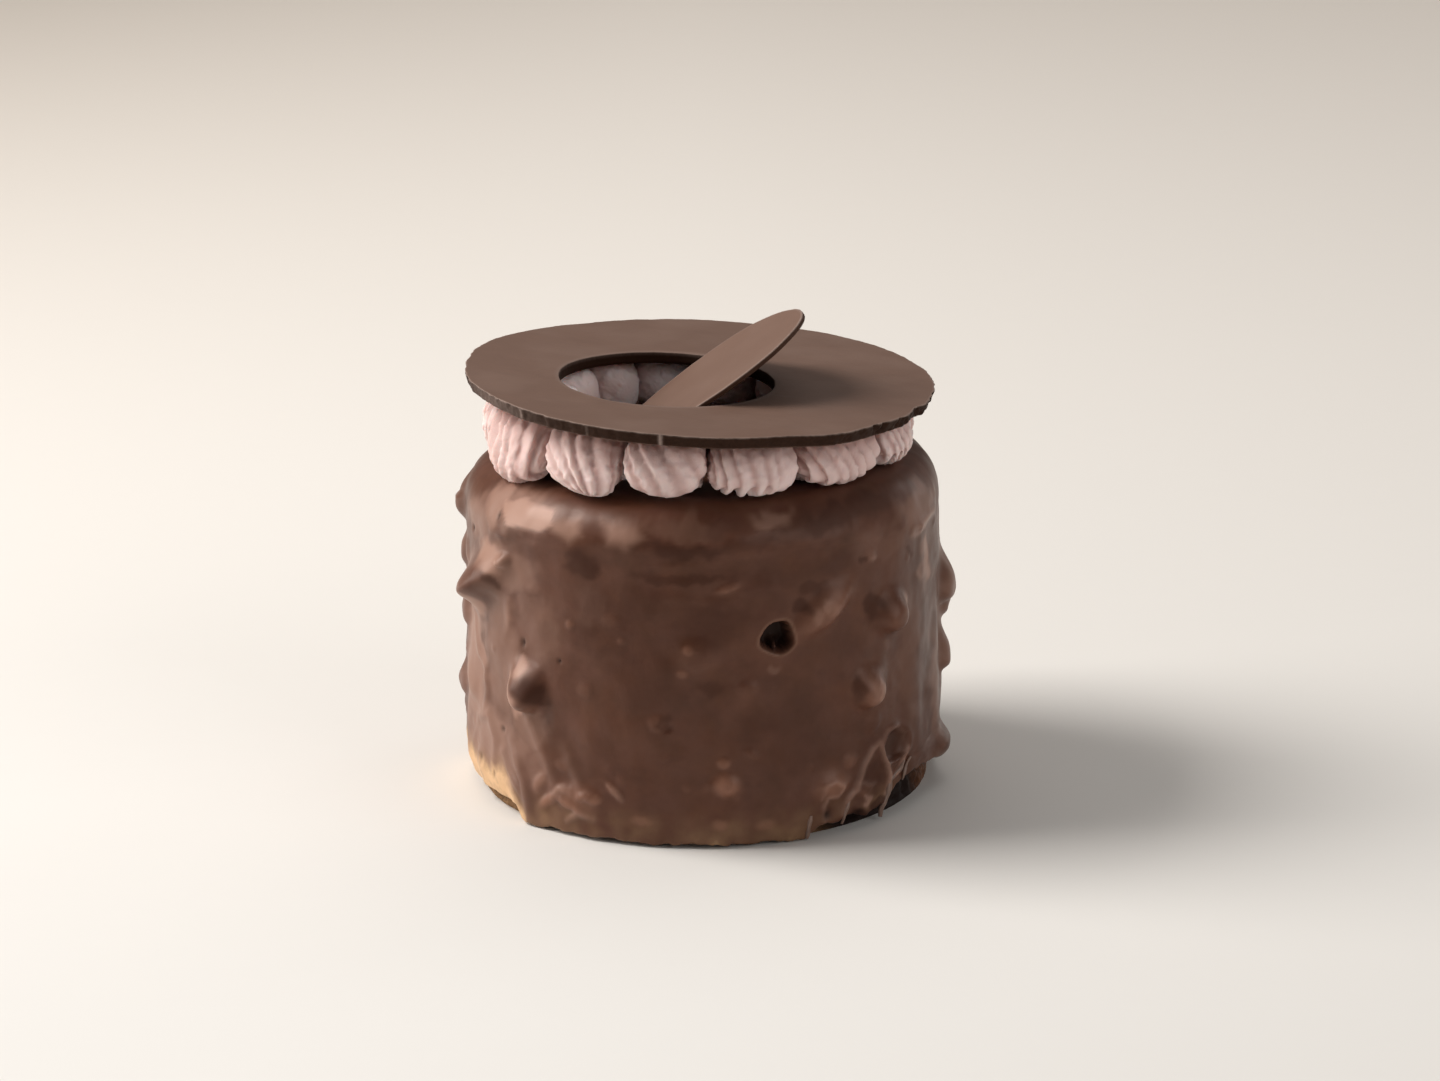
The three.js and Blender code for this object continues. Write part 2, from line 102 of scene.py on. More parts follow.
# Ledges, where the coat sagged over a nut and stopped: azimuth and height of the middle of the
# crest, its half length, how far it reaches above and below the crest, how far its left and
# right ends stand out, and its turn
LEDGES = [
    (-62, 32.7, 6.8, 3.2, 1.7, 4.2, 1.1, 38),
    (-46, 41.0, 6.5, 4.0, 0.9, 0.6, 0.5, 6),
    (-20, 41.4, 5.0, 3.5, 1.2, 0.3, 0.3, -4),
    (-72, 17.0, 3.0, 6.0, 2.0, 0.7, 0.3, 60),
]

# Rolled lip over the torn stretch: azimuth, height, half width, half height, how far it stands out
LIP = (81, 5.3, 4.2, 2.0, 1.5)

# How far the foot curves in on the left: azimuth, half width in degrees, how far, up to what height
TUCK = (-74, 24, 0.95, 5.0)

# Where the coat is painted paler, mostly as painted highlight and sheen with some paler coat, and
# where it is painted darker, as painted shade with some darker pooled coat: azimuth, height, half
# width in degrees, half height, how much. Each table goes round from the left.
PALE_AND_HIGHLIGHT_PATCHES = [
    (-77, 11, 4.5, 5, 0.5), (-73, 21.0, 10, 14, 0.62), (-70, 28.6, 6.5, 2.4, 0.95),
    (-70, 40.0, 8, 3.0, 0.4), (-66, 10.5, 12, 5, 0.6), (-60, 36.4, 7, 2.6, 0.88),
    (-60, 42.6, 6, 2.6, 0.7), (-56, 22.0, 8, 10, 0.36), (-55, 9.0, 9, 5, 0.4),
    (-54.6, 18.8, 3.4, 3.6, 0.45), (-50, 35.0, 8, 3.0, 0.32), (-50, 43.4, 9, 2.4, 0.5),
    (-49.6, 18.2, 2.8, 3.4, 1.0), (-47.2, 22.2, 2.8, 1.1, 1.0), (-47.0, 12.8, 6, 3.4, 0.36),
    (-45, 30.6, 5, 2.5, 0.2), (-44, 8.0, 6, 3.0, 0.25), (-43.0, 28.0, 7, 5.0, 0.22),
    (-27, 32.6, 4, 2.5, 0.16), (-4, 43.6, 11, 1.2, 0.16), (16.6, 24.4, 2.2, 0.9, 0.2),
    (17, 44.5, 5.5, 1.1, 0.5), (27.2, 30.4, 2.4, 1.4, 0.3), (30.6, 32.3, 1.8, 1.2, 0.35),
    (40.8, 3.9, 1.3, 0.8, 0.8), (43.8, 19.4, 1.9, 2.0, 0.35), (43.8, 37.0, 1.0, 0.8, 0.3),
    (45.6, 19.3, 1.0, 2.0, 0.7), (46.0, 2.6, 1.0, 0.8, 0.3), (46, 38.6, 9, 2.6, 0.12),
    (53.0, 28.8, 2.0, 2.0, 0.45), (54.2, 28.6, 1.3, 1.9, 0.8), (58, 22, 4, 12, 0.15),
    (66, 41.6, 10, 2.0, 0.35), (68.0, 33.2, 3.2, 3.4, 0.8), (68, 38.9, 7, 0.7, 0.45),
    (75, 14, 4, 8, 0.35), (86, 24, 5, 14, 0.25),
]
# Dark patches: painted shade on the lumps' shaded sides, in the torn recess and on the top inside
# the ring, with some darker pooled coat
DARK_AND_SHADE_PATCHES = [
    (-66.2, 23.1, 2.2, 2.0, 0.5), (-57.0, 33.4, 2.6, 1.0, 0.6), (-42.4, 19.8, 3.0, 2.6, 0.9),
    (-29.6, 38.0, 3.6, 2.0, 0.75), (-24, 31.0, 8, 5.0, 0.4), (-15, 33.6, 6, 3.0, 0.35),
    (-14, 24.0, 9, 7.0, 0.35), (-9.0, 17.6, 1.6, 0.9, 0.5), (-4.5, 37.4, 13, 0.9, 0.55),
    (-3.5, 41.2, 13, 1.0, 0.72), (1.2, 22.9, 3.4, 1.3, 0.5), (2.0, 31.0, 10, 3.0, 0.4),
    (4, 43.9, 5, 1.0, 0.35), (12, 41.6, 9, 0.9, 0.35), (17.6, 33.8, 4, 2.0, 0.3),
    (20, 15.0, 12, 7.0, 0.3), (22, 38.2, 20, 2.6, 0.28), (23.8, 32.4, 2.0, 1.3, 0.75),
    (27.4, 34.5, 2.4, 1.0, 0.55), (30, 25.0, 10, 4.0, 0.2), (32, 43.6, 9, 1.7, 0.6),
    (37.5, 2.0, 5.5, 1.1, 1.0), (38.8, 20.2, 2.2, 2.0, 0.6), (41.0, 37.3, 1.2, 0.8, 0.6),
    (43.5, 6.6, 4.5, 2.6, 0.55), (44.6, 29.8, 2.4, 2.1, 0.75), (45.0, 2.8, 3.0, 1.2, 0.8),
    (45, 44.0, 13, 1.8, 0.55), (58.5, 36.4, 1.5, 0.9, 0.5), (60, 33.0, 9, 4.0, 0.15),
    (150, 46.8, 50, 1.2, 0.9),
]

# Painted highlights on the upper left, as polygons: corners as azimuth and height, anticlockwise
# from outside, then how soft their edge is and how pale they are painted
PAINTED_HIGHLIGHT_POLYGONS = [
    ([(-58.5, 44.0), (-52.6, 41.2), (-41.0, 41.9), (-37.2, 42.8), (-39.0, 44.3), (-49.5, 44.8)],
     0.38, 1.0),
    ([(-24.4, 43.8), (-22.8, 41.7), (-18.2, 41.4), (-14.5, 42.4), (-16.5, 43.8)], 1.0, 0.62),
    ([(-38.5, 43.6), (-37.5, 42.2), (-33.0, 40.9), (-29.6, 42.0), (-31.0, 43.8)], 0.8, 0.70),
]

# Crumbs of nut under the front of the coat, with the same numbers as the nuts
CRUMBS = [
    (-53.2, 36.4, 1.3, 0.8, 0.7, 0.2, 30, 0.0),
    (10.1, 21.9, 1.3, 1.1, 0.22, 0.0, 0, 0.05),
    (4.3, 11.9, 0.8, 0.7, 0.30, 0.1, 0, 0.40),
    (-10.9, 17.6, 1.1, 1.0, 0.25, 0.1, 0, 0.10),
    (-8.6, 16.9, 0.8, 0.7, -0.22, 0.0, 0, 0.0),
    (-35.6, 9.8, 1.1, 0.9, 0.20, 0.1, 0, 0.12),
    (-26.6, 5.9, 1.0, 0.9, 0.34, 0.1, 0, 0.55),
    (-21.6, 7.4, 1.5, 0.6, 0.26, 0.1, -48, 0.22),
    (-39.8, 4.2, 1.9, 0.8, 0.60, 0.1, 35, 0.50),
    (-33.3, 4.4, 2.1, 0.8, 0.55, 0.1, -18, 0.50),
    (-29.0, 6.2, 1.5, 0.8, 0.40, 0.1, 20, 0.38),
    (-42.6, 6.6, 0.9, 1.6, 0.34, 0.1, -30, 0.30),
    (36.2, 9.9, 1.2, 1.0, 0.24, 0.1, 0, 0.22),
    (43.7, 37.5, 0.9, 0.9, 0.22, 0.0, 0, 0.12),
    (6.0, 35.9, 1.5, 0.5, 0.22, 0.1, 16, 0.26),
    (-32.6, 29.7, 0.6, 0.6, 0.16, 0.0, 0, 0.25),
    (-21.6, 31.0, 1.2, 0.9, 0.14, 0.0, 0, 0.14),
    (-19.1, 28.4, 0.6, 0.5, 0.14, 0.0, 0, 0.20),
    (-3.4, 27.8, 0.7, 0.6, 0.20, 0.0, 0, 0.30),
    (-5.0, 24.4, 0.7, 0.6, 0.18, 0.0, 0, 0.26),
    (40.6, 4.6, 1.4, 1.1, 0.45, 0.1, 0, 0.30),
    (14.0, 2.6, 1.2, 0.8, 0.22, 0.0, 0, 0.26),
    (3.2, 3.1, 1.0, 0.8, 0.24, 0.0, 0, 0.34),
    (-15.0, 3.4, 1.3, 0.7, 0.20, 0.0, 0, 0.30),
]

# Finer crumbs strewn all round, drawn with a seed
GRIT = {"count": 190, "seed": 63, "sizes": (0.5, 1.4), "proud": 0.26, "shows": 0.10}

# Slow unevenness of the poured coat: waves as lobes, lean and depth, folds as azimuth, height,
# half width, half height and how far they stand out, and the runs on the right
SWELLS = [(3, 0.09, 0.16), (7, -0.13, 0.12)]
FOLDS = [
    (10, 42.2, 24, 1.7, 0.32), (10, 38.4, 24, 2.2, -0.3),
]
RUNS = {"at": 84, "width": 22, "spacing": 12.4, "out": 0.2, "fade": (22, 34)}

# Ripples under the front of the shoulder, like the folds, and how fast they curve up to the sides
RIPPLES = [
    (-4, 41.0, 15, 0.7, 0.07), (-8, 38.9, 14, 0.6, 0.07), (-3, 36.6, 13, 0.6, 0.05),
    (2, 34.2, 9, 0.6, 0.05), (8, 35.4, 6, 0.4, 0.05), (-12, 32.4, 8, 0.7, 0.04),
]
RIPPLE_CURVE = 0.004

# Lower edge of the coat: azimuth and height, with drips near the surface and a torn stretch
LOWER_EDGE = [
    (-110, 0.8), (-75, 1.9), (-62, 2.2), (-52, 2.2), (-48.5, 0.4), (-45.5, 0.2), (-40, 0.6),
    (-30, 0.45), (-22, 0.6), (-10, 0.4), (-1, 0.6), (8, 0.3), (15, 0.5), (21, 0.2), (23.5, 0.1),
    (25.5, 0.9), (29, 1.6), (32, 1.4), (36, 2.3), (41, 1.5), (44, 1.9), (47, 2.3), (50, 3.2),
    (52.5, 4.4), (58, 5.0), (64, 4.9), (70, 4.5), (80, 3.4), (90, 1.9), (104, 0.6),
    (150, 0.3), (180, 0.9), (215, 0.5),
]

# Where the biscuit's tan shows through the coat's foot: azimuth, and up to what height
TAN_FOOT = [(-180, -4), (-120, -4), (-95, 6), (-82, 8.4), (-75, 7.8), (-64, 7.9), (-55, 6.8),
            (-50.5, 4.6), (-47, 2.4), (-44, -4), (180, -4)]

# Pit in the front of the coat, and the smooth hollow where the coat pulled away at the right
PIT = {"azimuth": 17.6, "height": 28.6, "half_width": 2.25, "half_height": 2.1, "depth": 3.2}
HOLLOW = {"azimuth": 52.6, "height": 9.7, "half_width": 3.1, "half_height": 2.6, "depth": 0.7}

# Pinholes and short slits: azimuth, height, half width, half height
PINHOLES = [
    (-57.2, 41.8, 0.30, 0.50), (-72.8, 38.0, 0.50, 0.42), (-47.8, 25.5, 0.30, 0.55),
    (-36.0, 24.3, 0.28, 0.28), (-68.2, 6.2, 0.22, 0.62), (-61.2, 5.0, 0.20, 0.55),
    (-57.0, 12.0, 0.28, 0.42), (29.6, 3.0, 0.6, 0.7), (38.6, 2.2, 0.9, 0.5),
    (120, 30, 0.30, 0.30), (163, 21, 0.28, 0.34), (208, 34, 0.32, 0.30), (239, 17, 0.30, 0.36),
]

# Ridges that the coat ran into: azimuth and height of their points, then their half width, how far
# they stand out and how much paler they are painted, mostly as painted highlight along the ridge
STROKES = [
    ([(-73.2, 28.0), (-72.1, 23.7), (-69.3, 21.0), (-64.8, 19.5), (-64.0, 16.5), (-65.6, 13.1)],
     0.65, 0.28, 0.40),
    ([(-52.6, 30.9), (-52.9, 27.8), (-53.9, 25.2)], 0.80, 0.24, 0.50),
    ([(-74.5, 7.2), (-70.0, 11.7), (-63.2, 13.2), (-60.3, 10.3), (-61.7, 6.6)],
     0.70, 0.26, 0.35),
    ([(-46.0, 14.6), (-43.6, 12.8), (-40.9, 10.2), (-38.7, 7.4), (-35.6, 5.6)], 1.00, 0.36, 0.16),
    ([(-35.0, 12.4), (-33.0, 10.0), (-31.0, 7.8), (-29.4, 6.6)], 0.90, 0.30, 0.14),
    ([(-22.8, 8.2), (-21.1, 7.5), (-19.8, 6.4)], 0.42, 0.20, 0.50),
    ([(-53.4, 10.9), (-50.8, 8.7), (-47.9, 6.1), (-46.7, 3.3), (-46.3, 0.8)], 0.95, 0.50, 0.25),
    ([(-38.8, 5.4), (-36.4, 6.6), (-33.4, 6.4)], 0.60, 0.34, 0.55),
    ([(-34.2, 2.2), (-31.2, 3.6), (-27.0, 3.2)], 0.50, 0.32, 0.50),
    ([(-57.0, 8.8), (-54.6, 6.7), (-50.3, 5.1), (-48.1, 3.4)], 0.65, 0.30, 0.35),
    ([(28.1, 5.4), (28.7, 7.3), (31.4, 7.8), (33.6, 6.7), (32.5, 5.4), (29.7, 5.5),
      (28.6, 4.2), (29.1, 2.2)], 0.36, 0.30, 0.60),
    ([(46.1, 10.8), (47.5, 8.5), (49.4, 6.0), (48.6, 4.0), (46.8, 2.5)], 0.42, 0.50, 1.0),
    ([(57.4, 8.5), (55.3, 6.9), (52.5, 5.9), (49.8, 5.3)], 0.36, 0.42, 1.0),
    ([(60.0, 38.9), (64.0, 38.9), (67.5, 39.2), (71.5, 39.4), (76.0, 39.3)], 0.70, 0.30, 0.60),
    ([(46.1, 11.2), (43.4, 10.5), (40.8, 8.7), (38.9, 6.6), (38.0, 5.6), (35.6, 4.5),
      (34.1, 2.6)], 0.42, 0.36, 0.75),
    ([(38.0, 6.3), (40.2, 6.3), (42.1, 5.6), (44.0, 5.6)], 0.34, 0.26, 0.55),
    ([(46.8, 11.1), (49.0, 12.5), (53.0, 12.3), (56.4, 10.8), (57.4, 8.5)], 0.30, 0.18, 0.30),
]

# Strokes like these drawn all round, from the front's left edge over the back
WEEPS = {"count": 34, "seed": 5, "azimuths": (98, 266), "heights": (4, 38), "lengths": (4, 13)}

# Threads that hang where the coat tore: azimuth and height of their points, then the radius
THREADS = [
    ([(49.6, 6.2), (49.2, 5.0), (48.6, 3.8), (47.6, 2.8), (46.6, 1.6), (46.2, 0.5)], 0.40),
    ([(55.5, 7.0), (53.6, 6.2), (51.6, 5.8), (49.8, 5.2)], 0.30),
    ([(58.6, 7.0), (56.6, 6.4), (55.4, 5.4), (54.6, 4.4)], 0.22),
    ([(36.2, 4.9), (35.2, 3.6), (34.4, 2.4), (33.9, 1.2)], 0.24),
    ([(25.2, 3.4), (24.8, 2.4), (24.4, 1.2), (24.1, 0.2)], 0.30),
]
THREAD_STEPS = 7
THREAD_COLUMNS = 10

# Where the biscuit is scooped out behind the coat's torn stretch and takes painted shade, and
# soaked round it
SCOOP = {"azimuth": 50, "width": 24, "depth": 0.8}
SOAKED = {"azimuth": 68, "width": 34, "above": 2.3}
BISCUIT_ROWS = 22
BISCUIT_COLUMNS = 460

# Cream ring: azimuths of the gaps that show, in front and through the hole, and the usual step
SEEN_GAPS = [-46, -21.2, 2.6, 28, 58, 207, 230]
SHELL_STEP = 26

# Shells, in millimetres from the cake's axis and above its top: where the line that a shell is
# piped on starts, bends and ends, and how thick, blunt and tightly pressed together they are.
# The tails end sooner round one azimuth, and the shells keep small gaps from each other and from
# the disc.
SHELL_FOOT = (28.0, 0.4)
SHELL_BEND = 26.6
SHELL_BULGE = 3.2
SHELL_TAIL = 15.6
SHELL_BLUNTNESS = 2.4
SHELL_FULLNESS = 0.56
SHELL_PRESSES = (1.22, 1.28)
SHORTER_TAILS = {"azimuth": 118, "width": 50, "by": 3.6}
NEIGHBOUR_GAP = 0.06
REST_GAP = 0.3
SHELL_ROWS = 83
SHELL_COLUMNS = 168

# How each shell was piped, in turn. The usual one has ridges that meet at its foot, an even outline
# and a round foot. pitch sets upright ridges that far apart instead, with a slant. lean moves its
# top sideways, slimness above 1 narrows it to the top and below 1 makes it boxy, beak draws its
# foot to a point that beak_at puts left or right, teeth cuts the grooves up into its lower edge,
# worn smooths the ridges on the left (-1) or right (1), lift raises its foot, and shade paints
# shade on it, darkening it towards the groove colour.
USUAL_SHELL = {
    "twist": 0.1, "slimness": 1.0, "foot": 2.2, "lean": 0.0, "beak": 0.4, "beak_at": 0.0,
    "teeth": 0.1, "worn": 0, "ridges": 1.0, "lift": 0.0, "pitch": 0, "slant": 0, "shade": 0,
}
SHELL_FORMS = [
    {"twist": -0.55, "slimness": 1.1, "foot": 2.7, "lean": -1.6, "beak": 0.4, "beak_at": 0.9,
     "shade": 0.25},
    {"pitch": 2.9, "slant": 0.5, "slimness": 0.80, "foot": 2.7, "beak": 0.3, "ridges": 0.7,
     "lift": 0.6},
    {"pitch": 1.75, "slant": 0.03, "slimness": 0.90, "foot": 2.8, "beak": 0.0, "teeth": 1.5,
     "worn": 1.4, "ridges": 0.75},
    {"pitch": 2.1, "slant": 0.35, "slimness": 0.90, "foot": 2.6, "teeth": 0.25, "beak": 0.2,
     "shade": 0.35, "ridges": 1.2},
    {"pitch": 1.9, "slant": 0.1, "foot": 3.0, "teeth": 1.4, "beak": 0.1, "lift": -0.2},
    {"twist": 0.5, "slimness": 0.65, "foot": 2.0, "lean": 0.5},
    {"pitch": 1.9, "slant": -0.2, "slimness": 0.65, "teeth": 0.3, "worn": -1},
    {"twist": 0.3, "slimness": 0.65, "foot": 3.6, "beak": 0.3, "lean": -0.3, "lift": -1.2},
    {"pitch": 2.1, "slant": 0.4, "slimness": 0.65, "foot": 3.6, "beak": 0.3, "lift": -1.2},
    {"twist": 0.1, "slimness": 1.15, "foot": 1.9, "beak": 0.9},
    {"pitch": 1.8, "slant": 0.1, "foot": 2.6, "teeth": 0.7, "worn": 1},
    {"twist": 0.45, "slimness": 0.95, "lean": 0.5},
    {"twist": 0.0, "slimness": 1.0, "foot": 1.7, "ridges": 0.7, "beak": 0.0},
    {"pitch": 2.5, "slant": -0.05, "slimness": 0.85, "foot": 3.0, "beak": 0.7, "beak_at": -1.2,
     "teeth": 0.2, "lift": -0.6, "worn": -1, "shade": 0.5, "ridges": 1.3},
]

# Chocolate disc: where its top's middle is, and the lobes of its snapped outline as azimuth, half
# width and how far out. Cracks, flakes and scuffs have an azimuth, a half width and a strength.
DISC_RADIUS = 32.0
DISC_MIDDLE = (0.4, 0, 56.3)
DISC_SLOPE = 0.056
DISC_UNDERCUT = 0.5
DISC_LOBES = [
    (33, 9, 0.9), (66, 3.5, -0.8), (86, 13, -0.2), (140, 22, 0.5),
    (-151, 10, -0.7), (-119, 12, 0.7), (-62, 18, -0.4),
]
HOLE_CENTRE = (-4.5, -2.5)
CRACKS = [
    (-132, 0.35, 0.7), (-48.3, 0.42, 0.5), (-27.8, 0.3, 0.3), (-9.5, 0.42, 1), (74, 0.35, 0.5),
    (150, 0.3, 0.6),
]
DISC_FLAKES = (58, 26, 0.5)
DISC_SCUFFS = (-62, 15, 0.30)
DISC_COLUMNS = 900

# Leaning plate
PETAL_HALF_WIDTH = 12.5
PETAL_UPPER_REACH = 13.5
PETAL_LOWER_REACH = 18.9
PETAL_CENTRE = (3.3, -2.9, 57.7)
PETAL_COLUMNS = 420

# Colours that the finishes mix in
RED_BROWN = (0.112, 0.047, 0.033)
DARK_STAIN = (0.050, 0.013, 0.006)
NUT_BROWN = (0.33, 0.16, 0.105)
# Painted shade in the pit, the pinholes and the hollow
HOLE_SHADE_COLOR = (0.012, 0.005, 0.004)
SOAKED_DARK = (0.045, 0.014, 0.007)
SOAKED_LIGHT = (0.17, 0.062, 0.024)
# Painted shade on the biscuit in the recess behind the torn coat
BISCUIT_RECESS_SHADE = (0.013, 0.0055, 0.0035)
# Painted light on the shells' inner ends, seen through the hole
PAINTED_TAIL_LIGHT = (0.95, 0.78, 0.76)
BLOOM = (0.23, 0.155, 0.125)
DUST = (0.36, 0.27, 0.235)
# The disc's side colour, darker than its face: painted shade on its snapped side and its hole's
# wall
DISC_SIDE_SHADE = (0.036, 0.0145, 0.0078)
PETAL_EDGE = (0.09, 0.042, 0.026)
# Painted shade on the floor at the back on the left
FLOOR_SHADE = (0.50, 0.44, 0.38)
FLOOR_FIBRE = (0.5, 0.48, 0.45)

# Softboxes: place, target and size in metres, then the colour
SOFTBOXES = {
    "key": ((-0.62, 0.10, 0.70), (0, 0, 0.03), (0.45, 0.45), (1.0, 0.975, 0.94)),
    "window": ((-1.05, 0.10, 0.32), (0, 0, 0.03), (0.6, 0.5), (1.0, 0.975, 0.94)),
    "side": ((0.90, -0.65, 0.45), (0, 0, 0.03), (0.9, 0.8), (1.0, 0.985, 0.97)),
    "back": ((0.95, 0.75, 0.30), (0, 0, 0.03), (0.3, 0.6), (1.0, 0.985, 0.97)),
    "ceiling": ((0.1, 0.9, 1.6), (0, 0.4, 0), (1.6, 1.6), (1.0, 0.97, 0.93)),
}
ROOM_LIGHT = (1.0, 0.985, 0.965, 1)
FLOOR_HALF = 4.0

# Where the photograph was taken from, in metres, and the camera's yaw, pitch and roll in degrees
CAMERA_PLACE = (0, -0.58, 0.2052)
CAMERA_TURNS = (0.28, 16.55, -0.70)


def turns_apart(a, b):
    """Degrees from azimuth b to azimuth a, the short way round."""
    return (np.asarray(a) - b + 180) % 360 - 180


def bell(distance):
    """1 in the middle, and down to nothing at twice the half width."""
    return np.exp(-np.square(distance))


def smooth(low, high, value):
    """An even bend from 0 at low to 1 at high."""
    share = np.clip((np.asarray(value, float) - low) / (high - low), 0, 1)
    return share * share * (3 - 2 * share)


def lerp(a, b, share):
    return a + (b - a) * share


def signed_power(value, power):
    """A power that keeps the value's sign."""
    return np.sign(value) * np.abs(value) ** power


def soft_clip(value, limit):
    """Keeps value within its limit on either side, with a soft bend just before it."""
    return value / (1 + np.abs(value / limit) ** 6) ** (1 / 6)


def cloud(points, size, seed, octaves=3, stretch=(1, 1, 1)):
    """Fractal noise at points, with lumps of about that size in millimetres."""
    shift = Vector((17.3 * seed, 5.1 * seed, 9.7 * seed))
    scaled = np.asarray(points, float).reshape(-1, 3) / (size * np.array(stretch))
    values = [noise.fractal(Vector(p) + shift, 0.8, 2.0, octaves) for p in scaled]
    return np.array(values).reshape(np.asarray(points).shape[:-1])


def on_turn(azimuth, radius, height=0.0):
    """Points at a turn, a distance and a height from the cake's axis."""
    turn = np.radians(azimuth)
    return np.stack(
        np.broadcast_arrays(radius * np.sin(turn), -radius * np.cos(turn), height), axis=-1)


# Faces


def ring_faces(rows, columns, closed=False):
    """Quads over rows of points that close round their columns, and round their rows if closed."""
    row, column = np.meshgrid(
        np.arange(rows if closed else rows - 1), np.arange(columns), indexing="ij")
    above = (row + 1) % rows * columns
    beside = (column + 1) % columns
    here = row * columns
    quads = np.stack([here + column, here + beside, above + beside, above + column], axis=-1)
    return quads.reshape(-1, 4).tolist()


def lathe(grid):
    """Points and faces of rows of points round an axis, closed with a point at either end."""
    rows, columns = grid.shape[:2]
    points = np.vstack([grid.reshape(-1, 3), grid[0].mean(axis=0), grid[-1].mean(axis=0)])
    foot = rows * columns
    last = foot - columns
    faces = ring_faces(rows, columns)
    for here in range(columns):
        beside = (here + 1) % columns
        faces.append([foot, beside, here])
        faces.append([last + here, last + beside, foot + 1])
    return points, faces


def mask_with_ends(mask):
    """One value for each point of a lathe: its rows and its two ends."""
    return np.concatenate([mask.ravel(), [mask[0].mean(), mask[-1].mean()]])


def dress(name, points, faces, finish, masks=None):
    """Makes a smooth piece from points in millimetres, with its finish and its masks."""
    mesh = bpy.data.meshes.new(name)
    mesh.from_pydata((np.asarray(points) * MM).tolist(), [], faces)
    mesh.shade_smooth()
    for title, values in (masks or {}).items():
        attribute = mesh.attributes.new(title, "FLOAT", "POINT")
        attribute.data.foreach_set("value", np.asarray(values, np.float32))
    mesh.materials.append(finish)
    piece = bpy.data.objects.new(name, mesh)
    bpy.context.scene.collection.objects.link(piece)
    return piece


def set_on_cake(piece, slot, *nodes):
    """The piece rides on the cake, and the imported parts given after its slot are hidden. Its slot
    is not used.
    """
    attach(piece, "root")
    if nodes:
        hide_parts(*nodes)


# Shader maths


class Wire:
    """A node's output that Python's operators work on: each operator adds its Math node."""

    def __init__(self, finish, socket):
        self.finish = finish
        self.socket = socket

    def maths(self, operation, *values):
        inputs = dict(enumerate(values))
        return self.finish.add("Math", {"operation": operation}, inputs)

    def __add__(self, other):
        return self.maths("ADD", self, other)

    def __radd__(self, other):
        return self.maths("ADD", other, self)

    def __sub__(self, other):
        return self.maths("SUBTRACT", self, other)

    def __rsub__(self, other):
        return self.maths("SUBTRACT", other, self)

    def __mul__(self, other):
        return self.maths("MULTIPLY", self, other)

    def __rmul__(self, other):
        return self.maths("MULTIPLY", other, self)

    def __pow__(self, other):
        return self.maths("POWER", self, other)

    def clamped(self):
        return self.maths("MAXIMUM", self.maths("MINIMUM", self, 1.0), 0.0)


class Finish:
    """A material with one Principled shader, and the nodes that feed it."""

    def __init__(self, name, **constants):
        self.material = bpy.data.materials.new(name)
        self.material.use_nodes = True
        self.tree = self.material.node_tree
        self.tree.nodes.clear()
        self.shader = self.tree.nodes.new("ShaderNodeBsdfPrincipled")
        output = self.tree.nodes.new("ShaderNodeOutputMaterial")
        self.tree.links.new(self.shader.outputs[0], output.inputs["Surface"])
        for socket, value in constants.items():
            self.shader.inputs[socket.replace("_", " ")].default_value = value

    def add(self, kind, settings=None, inputs=None, output=0):
        """Adds a node: its type, its settings, then the values or links of its sockets."""
        node = self.tree.nodes.new("ShaderNode" + kind)
        for key, value in (settings or {}).items():
            if key == "stops":
                self.set_stops(node.color_ramp, value)
            else:
                setattr(node, key, value)
        for socket, value in (inputs or {}).items():
            self.feed(node.inputs[socket], value)
        return Wire(self, node.outputs[output])

    def feed(self, socket, value):
        if isinstance(value, Wire):
            self.tree.links.new(value.socket, socket)
        elif hasattr(value, "__len__") and len(value) < len(socket.default_value):
            socket.default_value = (*value, 1.0)
        else:
            socket.default_value = value

    @staticmethod
    def set_stops(ramp, stops):
        while len(ramp.elements) < len(stops):
            ramp.elements.new(1.0)
        for element, (position, color) in zip(ramp.elements, stops):
            element.position = position
            element.color = (*color, 1.0)

    def surface(self, **inputs):
        """Feeds what changes over the surface to the shader, and gives the material back."""
        for socket, value in inputs.items():
            self.feed(self.shader.inputs[socket.replace("_", " ")], value)
        return self.material

    def mask(self, name):
        return self.add("Attribute", {"attribute_name": name}, output="Fac")

    def place(self, rotation=(0, 0, 0), scale=(1, 1, 1)):
        """The point on the piece, turned and then stretched."""
        point = self.add("TexCoord", output="Object")
        turned = self.add("Mapping", None, {"Vector": point, "Rotation": rotation})
        return self.add("Mapping", None, {"Vector": turned, "Scale": scale})

    def grain(self, size, detail=2.0, roughness=0.5, place=None):
        """Noise from 0 to 1 with grains of about that size in millimetres."""
        return self.add("TexNoise", None, {
            "Vector": place or self.place(), "Scale": 1 / (size * MM),
            "Detail": detail, "Roughness": roughness})

    def blend(self, share, a, b, mode="MIX"):
        """One colour into another by a share."""
        return self.add("Mix", {"data_type": "RGBA", "blend_type": mode},
                        {0: share, 6: a, 7: b}, output=2)

    def ramp(self, value, stops):
        return self.add("ValToRGB", {"stops": stops}, {"Fac": value})

    def bump(self, height, distance, strength=1.0, normal=None):
        """A normal from a height, with its distance in millimetres."""
        inputs = {"Height": height, "Distance": distance * MM, "Strength": strength}
        if normal:
            inputs["Normal"] = normal
        return self.add("Bump", None, inputs)


# Finishes


